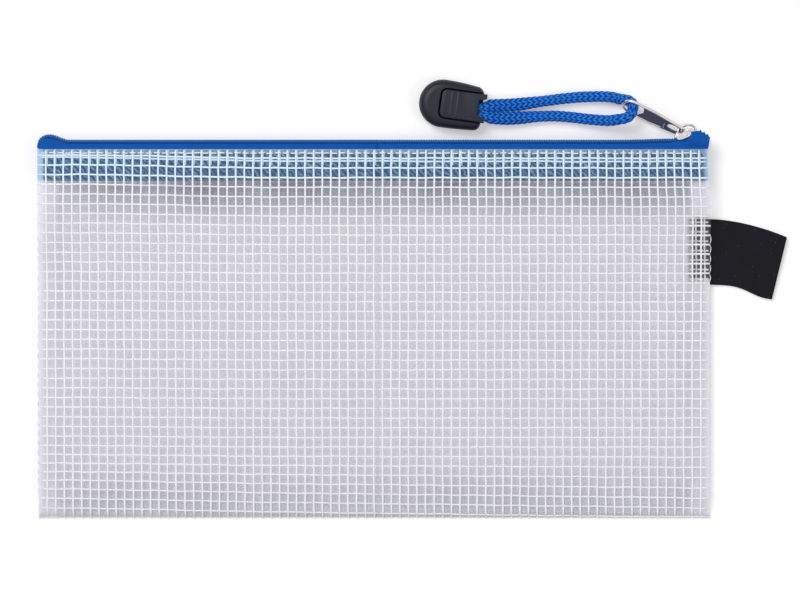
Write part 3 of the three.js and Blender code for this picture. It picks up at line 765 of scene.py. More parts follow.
def yarn_net(name, height, x_from, x_to, y_from, y_to, offset=(0, 0), turn=0.0, seed=1, lift=1):
    """Upright and level yarns on a film. A yarn wanders sideways by a slow ripple."""
    def on_film(x, y, sink, pull=0.0):
        """Points of yarns on the film: moved aside, turned a little and kept inside the film."""
        shift_x = YARN_WANDER * ripple(x * 2, y * 2, seed)
        shift_y = YARN_WANDER * ripple(x * 2, y * 2, seed + 1) - pull
        tilt = math.radians(turn)
        x_new = np.clip(x + shift_x + y * tilt, x_from, x_to)
        y_new = np.clip(y + shift_y - x * tilt, y_from, y_to)
        return np.stack([drawn(x_new, y_new), y_new, height(x_new, y_new) + sink], -1)

    x_at = yarn_places(x_from, x_to, offset[0] - RIGHT, CELL_X)
    y_at = yarn_places(y_from, y_to, offset[1] + FIRST_ROW, CELL_Y)
    rows = int((y_to - y_from) / YARN_STEP) + 2
    columns = int((x_to - x_from) / YARN_STEP) + 2
    x, y = np.meshgrid(x_at, np.linspace(y_from, y_to, rows), indexing="ij")
    upright = tubes(name + "_upright", on_film(x, y, lift * YARN_RAISED), EAST, UP, *YARN_HALF)
    x, y = np.meshgrid(np.linspace(x_from, x_to, columns), y_at)
    line = on_film(x, y, -lift * YARN_RAISED, yarn_sag(x, y))
    return upright, tubes(name + "_level", line, (0, -1, 0), UP, *YARN_HALF)


# %% Yarn material
yarn_white, tree, shader, where = finish_material(
    "yarn_white", (236, 235, 244), (250, 249, 255), (0.45, 0.65), 700.0)
fibres = add(tree, "Mapping", {"Scale": (0.6, 14.0, 1.0), "Vector": add(tree, "TexCoord", {}, "UV")})
bump(tree, shader, noise(tree, fibres, 1.0, 3.0), 0.05, 0.7)
# the yarn is painted bluish where the tape is behind it, as painted light from the tape showing through the
# translucent yarn
recolour(tree, shader, along_y(tree, where, TAPE_LOW_Y - 0.5, TAPE_LOW_Y + 3), (222, 242, 255))

# %% Yarn pieces
NET_Y = (BOTTOM + 0.5, FILM_TOP - 0.35)
nets = [(yarn_net("front_yarn_" + half, front_film, x_from, x_to, *NET_Y), side)
        for half, x_from, x_to, side in FRONT_HALVES]
nets.append((yarn_net("back_yarn", back_film, -RIGHT, RIGHT, *NET_Y, (1.25, 1.5), 0.25, 7), "root"))
for net, carrier in nets:
    dress(net, yarn_white, carrier)
print("yarn:", sum(len(piece.data.polygons) for net, _ in nets for piece in net), "faces")

# %% [markdown]
# ## Hems
# Along the zipper the film is turned in over itself, so that two layers of net lie over the tape.
# The turned-in layer starts at the edge, rolls through half a circle and hangs down behind.

# %% Turned-in film at the zipper
HEM_END = 51.1  # lower edge of the turned-in layer
HEM_YARN_END = 55.6  # and of its net, whose last yarns have slid out
HEM_SPACE = 0.24  # between the two layers of a hem


def hem_sheet(name, x_from, x_to, height, inwards):
    """A strip whose profile is a half circle at the film's top edge and then a line down inside."""
    roll = HEM_SPACE / 2
    arc = np.linspace(0, np.pi, 7)
    flat = np.linspace(FILM_TOP - roll, HEM_END, 12)[1:]
    profile_y = np.concatenate([FILM_TOP - roll + roll * np.sin(arc), flat])
    profile_z = np.concatenate([roll * (1 - np.cos(arc)), np.full(11, HEM_SPACE)])
    normal_y = np.concatenate([np.sin(arc), np.zeros(11)])
    normal_z = np.concatenate([-np.cos(arc), np.ones(11)])
    x, k = np.meshgrid(film_columns(x_from, x_to), np.arange(len(profile_y)))
    y = profile_y[k]
    middle = height(x, np.minimum(y, FILM_TOP)) + inwards * profile_z[k]
    grids = [np.stack([drawn(x, y), y + s * normal_y[k], middle + inwards * s * normal_z[k]], -1)
             for s in (FILM_SKIN / 2, -FILM_SKIN / 2)]
    return face_outwards(closed_sheet(name, *grids))


hems = [("front", "_" + half, x_from, x_to, front_film, -1, 21, side)
        for half, x_from, x_to, side in FRONT_HALVES]
hems.append(("back", "", -RIGHT, RIGHT, back_film, 1, 31, "root"))
for face, half, x_from, x_to, height, inwards, seed, carrier in hems:
    hem = hem_sheet(f"{face}_hem{half}", x_from, x_to, height, inwards)
    lay_film(hem, carrier)
    # the net of the turned-in layer is out of step with the layer over it
    net = yarn_net(f"{face}_hem_yarn{half}", lambda x, y: height(x, y) + inwards * HEM_SPACE, x_from, x_to,
                   HEM_YARN_END, FILM_TOP - 0.2, offset=(0.2, 2.35), turn=0.1, seed=seed, lift=0.4)
    dress(net, yarn_white, carrier)
print("hems done")

# %% [markdown]
# ## Seams and bottom fold
# At the sides both films are turned in and sewn together, which leaves a second net a few
# millimetres wide inside each edge. At the bottom the film simply turns round, and its upright
# yarns go round with it.

# %% Turned-in film at the sides
SEAM_TURN = 7.0
SEAM_Y = (box_of("left_seam_allowance")[0][1], TAPE_LOW_Y - 0.4)


def seam_height(x, y):
    """Middle of the turned-in film: just over the back film, and under the front one."""
    return back_under(y) + FILM + GAP + 0.35 + 0 * x


def seam_height_over_label(x, y):
    """The same at the right, where it passes over the label's root."""
    over = smoothstep(label_low[1] + 4, label_low[1] + 7, y) * smoothstep(39, 38, y)
    return seam_height(x, y) + 0.75 * over


for name, side, height in (("left", -1, seam_height), ("right", 1, seam_height_over_label)):
    ends = sorted((side * (RIGHT - SEAM_TURN), side * (RIGHT - 0.35)))
    film = film_sheet(name + "_seam_film", *ends, height, *SEAM_Y)
    lay_film(film, "root")
    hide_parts(name + "_seam_allowance")
    net = yarn_net(name + "_seam_yarn", height, *ends, *SEAM_Y, offset=(1.5, 0.9), turn=-0.2, seed=40 + side)
    dress(net, yarn_white, "root")

# %% Bottom fold
fold_low = float(back_film(0.0, FOLD_Y))
fold_high = float(front_film(0.0, FOLD_Y))
FOLD_RADIUS = (fold_high - fold_low) / 2
FOLD_Z = (fold_high + fold_low) / 2
HALF_TURN = np.linspace(-np.pi / 2, np.pi / 2, 9)


def round_fold(x, angle, radius):
    """Points of half a tube along the bottom, whose profile is a half circle."""
    return np.stack([x, FOLD_Y - radius * np.cos(angle), FOLD_Z + radius * np.sin(angle)], -1)


x, angle = np.meshgrid(np.linspace(-RIGHT, RIGHT, 80), HALF_TURN)
bottom_fold = face_outwards(closed_sheet(
    "bottom_fold", *(round_fold(x, angle, FOLD_RADIUS + s * FILM_SKIN / 2) for s in (1, -1))))
lay_film(bottom_fold, "root")
# the upright yarns go round the fold in the planes of the columns
x, angle = np.meshgrid(np.arange(79) * CELL_X - RIGHT + 0.05, HALF_TURN, indexing="ij")
out_of_fold = np.stack([0 * x, -np.cos(angle), np.sin(angle)], -1)
bottom_yarn = face_outwards(tubes(
    "bottom_fold_yarn", round_fold(x, angle, FOLD_RADIUS + 0.03), EAST, out_of_fold, *YARN_HALF))
dress([bottom_yarn], yarn_white, "root")
print("seams and fold done")

# %% [markdown]
# ## Stitches
# White thread holds the tape in the hem with a line of lockstitches, and closes the side seams. A
# stitch is a short bowed thread: it dips into the film at both ends and lies on it in between.

# %% Thread material
thread_white, tree, shader, where = finish_material(
    "thread_white", (240, 240, 248), (252, 252, 255), (0.5, 0.7), 900.0)
twist = add(tree, "VectorMath", {1: (11.0, 6.283, 0), 0: add(tree, "TexCoord", {}, "UV")}, "Value",
            operation="DOT_PRODUCT")
bump(tree, shader, calc(tree, "SINE", twist), 0.05, 0.6)

# %% Stitch lines
STITCH = 2.3
STITCH_PITCH = 2.75
STITCH_BOW = 0.22
SIDE_STITCH_BOW = 0.28


def stitches(name, starts, run, bow, side, half_width=0.21, half_height=0.15):
    """Bowed threads: each goes along run from its start and rises by bow times the sine of pi t."""
    t = np.linspace(0, 1, 7)[None, :, None]
    bow = np.array(bow, float)
    line = starts[:, None] + np.array(run, float) * t + bow * (np.sin(np.pi * t) - 0.25)
    return face_outwards(tubes(name, line, side, unit(bow), half_width, half_height, taper=0.55))


stitch_y = sum(corner[1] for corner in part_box("front_stitching")) / 2 / MM
hem_starts = np.arange(-RIGHT + 1.2, RIGHT - 3.4, STITCH_PITCH)
left_starts = hem_starts[hem_starts < SPLIT - 1.2]
right_starts = hem_starts[hem_starts >= SPLIT - 1.2]
for name, x, film, up, carrier, node in (
        ("front_stitches_left", left_starts, front_film, 1, -1, "front_stitching"),
        ("front_stitches_right", right_starts, front_film, 1, 1, "front_stitching"),
        ("back_stitches", hem_starts, back_film, -1, "root", "back_stitching")):
    wander = 0.08 * np.sin(x * 0.9) + 0.05 * np.sin(x * 2.3)
    starts = np.stack([drawn(x, stitch_y), stitch_y + wander, film(x, stitch_y) + 0.2 * up], 1)
    piece = stitches(name, starts, (STITCH, 0, 0), (0, 0, STITCH_BOW * up), (0, 1, 0))
    dress([piece], thread_white, carrier)
    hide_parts(node)
for name, side in (("left", -1), ("right", 1)):
    low, high = box_of(name + "_side_stitching")
    y = np.arange(low[1], high[1] - 2.5, CELL_Y)
    starts = np.stack([0 * y + side * (RIGHT + 0.02), y, seam_inside(y) - 0.25], 1)
    run = (0, CELL_Y - 0.7, 0)
    bow = (side * SIDE_STITCH_BOW, 0, 0)
    piece = stitches(name + "_side_stitches", starts, run, bow, (0, 0, 1), 0.3, 0.16)
    dress([piece], thread_white, "root")
    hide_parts(name + "_side_stitching")
print("stitches:", len(hem_starts), "along each hem")

# %% [markdown]
# ## Zipper tapes
# Each tape is a woven ribbon that turns down over the chain and hangs behind the hem. At the left
# end it bulges up over the chain, and at the right end its pinked end stands up past the slider.

# %% Tape shape
TAPE_EDGE_Y = 63.1  # upper edge of the tape beside the coil
TAPE_CLIMB = 2.6  # how far that edge rises beside the slider
TAPE_HALF = 0.17  # half of its thickness
COIL_TOP = 64.6
BUMP_CREST_X = -111.0
BUMP_RISE = 1.84
BUMP_END_X = -104.0
LEFT_END = -RIGHT - 0.22  # the bulge stands out past the film's edge
TAB_START = 109.0
PINKING_X = 111.0  # where the cut slope starts


def bump_rise(x):
    """How far the chain stands up at the left end: a quarter of an ellipse up from the end of the
    pouch to the crest, and half a cosine wave down from there."""
    up = np.sqrt(np.clip(1 - ((BUMP_CREST_X - x) / (BUMP_CREST_X - LEFT_END)) ** 2, 0, 1))
    down = 0.5 + 0.5 * np.cos(np.pi * np.clip((x - BUMP_CREST_X) / (BUMP_END_X - BUMP_CREST_X), 0, 1))
    return np.where(x < BUMP_CREST_X, (BUMP_RISE + 1.5) * up - 1.5, BUMP_RISE * down)


def coil_lift(x):
    """How far the chain rises towards the slider."""
    return 0.4 * smoothstep(84, 103, x)


def tab_top(x):
    """Upper edge of the right end: level, and then a slope cut with pinking shears."""
    level = 67.15 + 0.25 * smoothstep(TAB_START, PINKING_X, x)
    slope = level - 2.3 * np.clip((x - PINKING_X) / 4.2, 0, 1) ** 1.5
    tooth = np.abs(((x - PINKING_X + 0.1) / 1.15) % 1 - 0.5) * 2
    return slope + 0.7 * tooth ** 1.6 * (x > PINKING_X + 0.4)


def tab_start(front):
    """Where the standing end starts: that of the back tape only shows past the slider."""
    return TAB_START if front else slider_high[0] + 0.6


def tape_upper_edge(x, front):
    """Upper edge of a tape along the zipper. Near the slider it rises over the coil."""
    edge = TAPE_EDGE_Y + bump_rise(x) * np.where(x < BUMP_CREST_X, 1, 0.94) + coil_lift(x)
    edge = edge + TAPE_CLIMB * smoothstep(101, 109.5, x) ** 1.3
    return np.where(x < tab_start(front), edge, tab_top(x))


def tape_columns(x_from, x_to, front):
    """The x of each column of a tape's grid: closer together at the bulge and at the pinked end."""
    start = tab_start(front)
    columns = []
    if x_from < BUMP_CREST_X:
        columns.append(x_from + (BUMP_CREST_X - x_from) * np.linspace(0, 1, 14, endpoint=False) ** 2)
        columns.append(np.linspace(BUMP_CREST_X, BUMP_END_X, 14, endpoint=False))
        x_from = BUMP_END_X
    columns.append(np.linspace(x_from, min(x_to, start - 0.02), 60))
    if x_to >= start:
        columns.append(np.arange(start + 0.02, 115.3, 1.15 / 8))
    return np.concatenate(columns)


def tape_wall(name, front, x_from, x_to, outer):
    """The hanging part of a tape: a sheet between its lower edge and the upper edge's curve. At the
    right the front tape comes forward, so that its end lies over the slider's end. The part under
    the hem keeps inside the seams, and the standing end leans outwards and waves a little."""
    x, t = np.meshgrid(tape_columns(x_from, x_to, front), np.linspace(0, 1, 30))
    y = TAPE_LOW_Y + (tape_upper_edge(x, front) - TAPE_LOW_Y) * t
    middle = CHAIN_Z + outer * (TAPE_OUT - 0.2) + 0.04 * ripple(x, y * 2, 5)
    if front:
        middle = middle + 1.35 * smoothstep(107.6, TAB_START, x) * smoothstep(FILM_TOP + 0.1, 64.0, y)
    wave = 0.12 * np.sin((x - TAB_START) * 1.1) * smoothstep(TAB_START, 112, x)
    middle = middle + outer * wave * smoothstep(62, 66, y)
    pull = np.where(x < 0, -2.2, 0.5) * smoothstep(RIGHT - 7, RIGHT, np.abs(x))
    x = x - pull * smoothstep(FILM_TOP + 0.4, FILM_TOP - 0.6, y)
    lean = 0.13 * (y - 61.5) * smoothstep(110, RIGHT, x) * (y > 61.5)
    thin = TAPE_HALF * (1 - 0.6 * smoothstep(0.97, 1, t))
    return face_outwards(sheet_about(name, drawn(x, np.minimum(y, 62)) + lean, y, middle, thin))


def tape_flange(name, x_from, x_to, outer):
    """The narrow part of a tape that lies under its coil."""
    z = CHAIN_Z + outer * np.linspace(1.0, TAPE_OUT - 0.25, 5)
    x, z = np.meshgrid(np.linspace(x_from, x_to, 60), z)
    grids = [np.stack([x, COIL_TOP - 1.9 + s + 0 * x, z], -1) for s in (0.15, -0.15)]
    return face_outwards(closed_sheet(name, *grids))


# %% Tape material: royal blue twill with a fine rib
tape_blue, tree, shader, where = finish_material(
    "tape_blue", (0, 72, 156), (4, 90, 178), (0.62, 0.8), 220.0, Specular_IOR_Level=0.15)
# painted shade: below the film's top edge the tape is painted a darker teal, for the shade and greenish tint
# of the film over it
under_film = calc(tree, "MULTIPLY", along_y(tree, where, FILM_TOP - 0.6, FILM_TOP), 0.8)
recolour(tree, shader, calc(tree, "SUBTRACT", 0.8, under_film), (0, 74, 112))
bump(tree, shader, use(tree, weave_group, "Height", Vector=where, Warp=0.42, Weft=0.3), 0.09, 0.6)

# %% Tape pieces
for name, half, x_from, x_to, outer, carrier in (
        ("front_tape", "_left", LEFT_END + 0.1, SPLIT, 1, -1), ("front_tape", "_right", SPLIT, RIGHT, 1, 1),
        ("back_tape", "", -RIGHT + 0.1, RIGHT, -1, "root")):
    front = outer > 0
    wall = tape_wall(name + (half or "_ribbon"), front, x_from, x_to, outer)
    flange = tape_flange(name + "_flange" + half, max(x_from, -103), min(x_to, 102), outer)
    dress([wall, flange], tape_blue, carrier)
    if half != "_right":
        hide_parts(name)
print("tapes done")

# %% [markdown]
# ## Coils
# The teeth of this zipper are two coils of nylon monofilament, wound flat and meshed. Each is one
# helix with an oval section. The front coil climbs over the bulge of the tape at the left end, where
# it shows as a ribbed rim, and both part round the slider's wedge at the right.

# %% Coil helices
COIL_PITCH = 0.84
WIRE = 0.27
COIL_SLANT = 0.3  # how far a turn leans along the chain
COIL_STEPS = 12  # points in a turn
COIL_OUTER = (0.85, 0.975)  # half of its height along y and z
COIL_CORE = (0.55, 0.66)


def coil_line(x, outer):
    """Middle line of a coil: level with the chain, up over the bulge, and out at the wedge."""
    spread = 0.75 * smoothstep(slider_high[0] - 4.7, slider_high[0] - 3, x)
    top_edge = np.stack([x, COIL_TOP + (bump_rise(x) + coil_lift(x))], 1)
    ahead = unit(np.gradient(top_edge, axis=0))
    inwards = np.stack([ahead[:, 1], -ahead[:, 0]], 1)
    x, y = (top_edge + COIL_OUTER[0] * inwards).T
    return np.stack([drawn(x, y), y, CHAIN_Z + outer * (0.15 + COIL_OUTER[1] + spread)], 1)


def coil_piece(name, x_from, x_to, outer):
    """A helix on the middle line: an oval that turns once for each pitch of the line's length. The
    cord inside the coil has a crown of 0, so it takes the painted shade colour and is dark between the turns."""
    t = np.linspace(0, 1, 4000)
    middle = coil_line(x_from + (x_to - x_from) * (t ** 2 if x_from < BUMP_CREST_X else t), outer)
    run = measured(middle)
    at = np.linspace(0, run[-1], int(run[-1] / COIL_PITCH * COIL_STEPS) + 1)
    middle = np.stack([np.interp(at, run, middle[:, k]) for k in range(3)], 1)
    angle = (2 * np.pi * at / COIL_PITCH + (0 if outer > 0 else np.pi))[:, None]
    ahead = unit(np.gradient(middle, axis=0))
    normal = np.stack([-ahead[:, 1], ahead[:, 0], 0 * at], 1)
    half_y, half_z = (half - WIRE for half in COIL_OUTER)
    oval = half_y * np.cos(angle) * normal + half_z * np.sin(angle) * UP
    line = middle + oval - COIL_SLANT * np.cos(angle) * ahead
    along = unit(np.gradient(line, axis=0))
    side = unit(np.cross(along, unit(oval)))
    piece = tubes(name, line[None], side, np.cross(side, along), WIRE, WIRE)
    # crown: 1 on the side of the wire that faces out of the coil and 0 on the side that faces in, for painted
    # shade and highlight
    from_wire = points_of(piece).reshape(len(line), 6, 3) - line[:, None]
    crown = 0.5 + 0.5 * (from_wire * unit(oval)[:, None]).sum(-1) / WIRE
    point_values(piece, "crown", np.clip(crown, 0, 1).ravel())
    inside = tubes(name + "_core", middle[None, ::6], normal[::6], UP, *COIL_CORE, 10)
    point_values(inside, "crown", np.zeros(len(inside.data.vertices)))
    return [face_outwards(piece), face_outwards(inside)]


coil_blue, tree, shader, where = finish_material(
    "coil_blue", (0, 72, 156), (4, 94, 186), (0.4, 0.55), 400.0, Specular_IOR_Level=0.3)
grain(tree, shader, where, 3000.0, 0.02, 0.5)
# painted shade where the wire turns in and on the core, and painted highlights on the outer tops of the turns
crown_shade_and_highlight(tree, shader, 1.0, (0, 32, 92), 6.0, (60, 150, 226))
for name, x_from, x_to, outer, carrier, node in (
        ("front_coil_left", LEFT_END + 0.02, SPLIT, 1, -1, "front_coil"),
        ("front_coil_right", SPLIT, slider_high[0], 1, 1, None),
        ("back_coil_wire", LEFT_END + 0.02, slider_high[0], -1, "root", "back_coil")):
    coil = coil_piece(name, x_from, x_to, outer)
    dress(coil, coil_blue, carrier)
    if node:
        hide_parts(node)
    print(name, len(coil[0].data.polygons), "faces")

# %% [markdown]
# ## Label
# A strip of black woven ribbon, folded and caught in the side seam. It lies on the table, and its
# free end sags and waves a little. The lettering of the real one is left out, so it is bare.

# %% Label shape
LABEL_INSIDE = 7.2
LABEL_OUT = 26.5
LABEL_WIDTH = 22.5
LABEL_MIDDLE = 26.15
LABEL_DROOP = (5.0, 6.2)  # of the lower and of the upper edge
LABEL_SHORTER = 5.1  # how much less the lower edge sticks out


def label_sheet():
    """A strip with u along it and v across: straight inside the seam, and outside it the upper and
    lower edges droop by a power of the length and a slow s-curve, lower at the lower edge."""
    u, v = np.meshgrid(np.linspace(0, 1, 72), np.linspace(0, 1, 30))
    inside = LABEL_INSIDE / (LABEL_INSIDE + LABEL_OUT)
    s = np.clip((u - inside) / (1 - inside), 0, 1)
    run = LABEL_OUT - LABEL_SHORTER * (1 - v)
    droop = LABEL_DROOP[0] * (1 - v) + LABEL_DROOP[1] * v
    wave = (1 - v) * 0.9 * np.sin(2 * np.pi * s ** 1.2) * s
    x = np.where(u < inside, RIGHT - LABEL_INSIDE * (1 - u / inside), RIGHT + run * s)
    y = LABEL_MIDDLE + LABEL_WIDTH * (v - 0.5) - droop * s ** 1.8 + wave
    lift = (FILM + GAP) * (1 - smoothstep(0, 0.4, s)) + 0.6 * smoothstep(0.4, 1, s)
    lift = lift + 0.35 * (1 + np.sin(2 * np.pi * (0.9 * s + 0.35 * v))) * smoothstep(0.15, 0.6, s)
    return face_outwards(sheet_about("woven_label", x, y, lift + 0.25, 0.2))


label = label_sheet()
label_cloth, tree, shader, where = finish_material(
    "label_cloth", (20, 20, 26), (32, 32, 39), (0.75, 0.9), 120.0, Specular_IOR_Level=0.1)
bump(tree, shader, use(tree, weave_group, "Height", Vector=where, Warp=0.34, Weft=0.24), 0.06, 0.7)
recolour(tree, shader, use(tree, lint_group, "Mask", Vector=where, Scale=150.0, Amount=0.02), (78, 78, 85))
dress([label], label_cloth, "root")
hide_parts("label")
print("label done")

# %% [markdown]
# ## Metal
# Slider, bridge and puller are die-cast and plated. Their edges are soft, so a plate is drawn in
# towards its faces along a quarter of a circle, and the bars are round tubes. The sunk panels of the
# puller are darker and finely grained.

# %% Metal materials
metal, tree, shader, where = finish_material(
    "bright_metal", (206, 198, 198), (232, 224, 224), (0.16, 0.3), 300.0, Metallic=1.0)
grain(tree, shader, where, 1800.0, 0.02, 0.35)
dark_metal, tree, shader, where = finish_material(
    "dark_metal", (58, 66, 88), (92, 100, 124), (0.45, 0.65), 900.0, Metallic=0.6)
grain(tree, shader, where, 5000.0, 0.04, 0.8)


# %% Slider
def smooth_loop(points):
    """A closed Catmull-Rom curve through points of a plane, with eight steps from each to the next."""
    p = np.array(points, float)
    t = np.linspace(0, 1, 8, endpoint=False)[:, None]
    return curve_between(*(np.roll(p, k, axis=0)[:, None] for k in (1, 0, -1, -2)), t).reshape(-1, 2)


def pebble(name, outline, low, high, edge):
    """A plate with the given outline between two heights, with its edges rounded by a quarter of a
    circle. Ring k is the outline drawn in towards its middle, and its height follows the rounding."""
    middle = (outline.max(0) + outline.min(0)) / 2
    size = (outline.max(0) - outline.min(0)).min() / 2
    turn = np.linspace(0, np.pi / 2, 9)
    inset = np.concatenate([edge * (1 - np.cos(turn)), [size * 0.5, size * 0.999]])
    rise = np.concatenate([edge * np.sin(turn), [edge, edge]])[:, None]
    loop = np.concatenate([outline, outline[:1]])
    x, y = np.moveaxis(middle + (loop - middle) * (1 - inset / size)[:, None, None], -1, 0)
    grids = [np.stack([x, y, z + 0 * x], -1) for z in (high - edge + rise, low + edge - rise)]
    return face_outwards(closed_sheet(name, *grids), weld=True)


# outlines as seen from the front, in millimetres from the slider's left end and its tape edge
CHEEK = [(-0.4, 1.5), (-0.3, 0.85), (0.1, 0.2), (0.8, -0.05), (1.7, 0.1), (3.0, 0.6), (4.3, 1.2), (4.9, 1.7),
         (6.0, 1.85), (7.4, 1.9), (7.5, 2.3), (6.5, 2.85), (5.0, 3.05), (2.9, 2.9), (1.5, 2.3), (0.4, 2.1),
         (-0.25, 2.0)]
POST = [(3.4, 1.6), (5.7, 1.6), (5.9, 3.0), (5.6, 3.8), (4.9, 4.1), (4.2, 4.05), (3.6, 3.7), (3.3, 2.8)]
PLATE = [(0, 1.75), (4, 1.73), (7.4, 1.75), (7.5, 2.05), (7.4, 2.4), (4, 2.42), (0, 2.4), (-0.1, 2.05)]
BRIDGE = [(0.6, 1.7), (0.6, 3.3), (1.3, 4.35), (2.5, 4.95), (3.7, 5.25), (4.9, 5.3), (5.9, 4.95), (6.5, 4.3),
          (6.7, 3.5), (6.65, 2.6), (6.6, 1.9)]
BRIDGE_HALF = (1.05, 0.5)  # across and through
SLIDER_CORNER = np.array([slider_low[0], 64.3])
slider_parts = [
    pebble(name, smooth_loop(points) + SLIDER_CORNER, CHAIN_Z + low, CHAIN_Z + high, edge)
    for name, points, low, high, edge in (
        ("slider_plate", PLATE, -3.3, 3.3, 0.15), ("slider_cheek_front", CHEEK, 2.75, 3.85, 0.4),
        ("slider_cheek_back", CHEEK, -3.85, -2.75, 0.4), ("slider_post", POST, -0.9, 0.9, 0.3))]
arch, _ = smooth_path([(*(SLIDER_CORNER + point), CHAIN_Z) for point in BRIDGE], 0.25)
arch_up = unit(np.cross(UP, unit(np.gradient(arch, axis=0))))
slider_bridge = face_outwards(tubes("slider_bridge_band", arch[None], UP, arch_up, *BRIDGE_HALF, 14))

# %% Puller
PULLER_LEAN = math.radians(26)
PULLER_TWIST = math.radians(61)
PULLER_RISE = math.radians(4.8)  # the cord under the eye holds that end up
PULLER_HALF = 4.0
PULLER_NECK = 2.75
PULLER_RIM = 0.48
PULLER_ROUND = 18.6  # where the round end starts, from the pivot
RIM_CORNER = 0.65
RIM_LINE = PULLER_HALF - PULLER_RIM  # radius of the middle of the rim round the end
WEB_HALF = 0.25
HOLE_MIDDLE = 3.0
HOLE = (2.35, 1.75)
RING_OUT = 0.12  # how far outside the hole's edge the middle of its ring lies
pivot = np.array([j["pos_m"] for j in frame["joints"] if j["name"] == "puller_swing"][0]) / MM
puller_start = pivot + (-0.5, -0.8, 0)  # the end bar lies a little lower than the joint
level = np.array([-math.cos(PULLER_LEAN), math.sin(PULLER_LEAN), 0])
aside = np.array([math.sin(PULLER_LEAN), math.cos(PULLER_LEAN), 0])
along = level * math.cos(PULLER_RISE) + UP * math.sin(PULLER_RISE)
lifted = UP * math.cos(PULLER_RISE) - level * math.sin(PULLER_RISE)
across = aside * math.cos(PULLER_TWIST) + lifted * math.sin(PULLER_TWIST)
through = np.cross(along, across)


def in_puller(u, v, w):
    """A point of the puller: u along it from the pivot, v across and w through."""
    return puller_start + u[..., None] * along + v[..., None] * across + w * through


def puller_half(u):
    """Half of the puller's width: even along the neck's start, and growing evenly from 1.5 to 11."""
    return PULLER_NECK + (PULLER_HALF - PULLER_NECK) * np.clip((u - 1.5) / 9.5, 0, 1)


def puller_tube(name, u, v, half_width, half_height):
    """A rounded bar along a line on the puller."""
    ahead = unit(np.stack([np.gradient(u), np.gradient(v)], 1))
    side = -ahead[:, 1, None] * along + ahead[:, 0, None] * across
    return face_outwards(tubes(name, in_puller(u, v, 0)[None], side, through, half_width, half_height, 10))


def rounded(angle, half_u, half_v, exponent):
    """A rounded rectangle about the hole's middle: cosine and sine to a power below 1."""
    cos, sin = np.cos(angle), np.sin(angle)
    return (half_u * np.sign(cos) * np.abs(cos) ** exponent + HOLE_MIDDLE,
            half_v * np.sign(sin) * np.abs(sin) ** exponent)


def web_sheet(name, u, v):
    """A part of the sunk web, which is a flat sheet."""
    return face_outwards(closed_sheet(name, in_puller(u, v, WEB_HALF), in_puller(u, v, -WEB_HALF)))


# %% Puller's rim, from the corners of its end bar round the eye
straight = np.linspace(0.55, PULLER_ROUND, 36)
round_end = np.linspace(np.pi / 2, -np.pi / 2, 25)[1:-1]
corner = np.linspace(0, np.pi / 2, 6)[:-1]
rim_half = puller_half(straight) - PULLER_RIM
corner_u = -0.2 + RIM_CORNER * (1 - np.sin(corner + 0.2))
corner_v = rim_half[0] - RIM_CORNER * (1 - np.cos(corner))
rim_u = np.concatenate([
    corner_u[::-1], straight, PULLER_ROUND + RIM_LINE * np.cos(round_end), straight[::-1], corner_u])
rim_v = np.concatenate([corner_v[::-1], rim_half, RIM_LINE * np.sin(round_end), -rim_half[::-1], -corner_v])
# the rim is bright, but for the lower side of the neck, which gets the web's dark metal as painted shade,
# since that side lies in the puller's own shade
lower_neck = (rim_v < 0) & (rim_u > 0.5) & (rim_u < 6.4)
first = int(np.flatnonzero(lower_neck)[-1]) + 1
bright = len(rim_u) - int(lower_neck.sum())
bright_u, bright_v = (np.roll(line, -first)[:bright] for line in (rim_u, rim_v))
puller_rim = puller_tube("puller_rim", bright_u, bright_v, PULLER_RIM, 0.5)
neck_u = np.linspace(0.5, 6.8, 14)
dark_neck = puller_tube("puller_dark_neck", neck_u, PULLER_RIM - puller_half(neck_u), PULLER_RIM, 0.47)
ridge = np.linspace(-1, 0, 10)
puller_ridge = puller_tube("puller_ridge", 6.5 - 0.9 * ridge ** 2, 0.2 + 3.2 * ridge, 0.17, 0.42)
pin_v = np.linspace(-2.2, 1.4, 8)
puller_pin = puller_tube("puller_pin", 0.3 + 0 * pin_v, pin_v, 0.4, 0.5)

# %% Puller's web: a sheet round the oval hole, and a panel from there to the eye
turn = np.linspace(0, 2 * np.pi, 40, endpoint=False)
turn = np.append(turn, turn[:2])
hole_u, hole_v = rounded(turn, *HOLE, 0.8)
ring_u = hole_u + RING_OUT * np.cos(turn)
ring_v = hole_v + RING_OUT * np.sin(turn)
puller_ring = puller_tube("puller_ring", ring_u, ring_v, 0.2, 0.36)
turn, r = np.meshgrid(np.linspace(0, 2 * np.pi, 49), np.linspace(0, 1, 6))
inner_u, inner_v = rounded(turn, *HOLE, 0.8)
outer_u, outer_v = rounded(turn, 3.3, 1, 0.55)
outer_v = outer_v * (puller_half(outer_u) - PULLER_RIM)
puller_neck = web_sheet("puller_neck", inner_u + (outer_u - inner_u) * r, inner_v + (outer_v - inner_v) * r)
# the panel's far edge bows inwards, because the eye's end is round
s, q = np.meshgrid(np.linspace(0, 1, 24), np.linspace(-1, 1, 16))
panel_u = 6.1 + (14.5 + (1.45 - 0.3 * q) * np.abs(q) ** 1.3 - 6.1) * s
puller_panel = web_sheet("puller_panel", panel_u, q * (puller_half(panel_u) - PULLER_RIM))

dress([*slider_parts, slider_bridge], metal, "slider")
dress([puller_rim, puller_ridge, puller_pin], metal, "puller")
dress([puller_ring, dark_neck, puller_neck, puller_panel], dark_metal, "puller")
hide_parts("slider_body")
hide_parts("slider_bridge")
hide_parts("puller")
print("metal done")

# %% [markdown]
# ## Cord end
# A moulded plastic shell, round at one end, holds both ends of the cord. A lid closes its face and
# leaves a dark groove round itself, and a notch in the lid lets the cord out. Both are worked out as
# height fields: the height at a point follows from its distance to the outline.

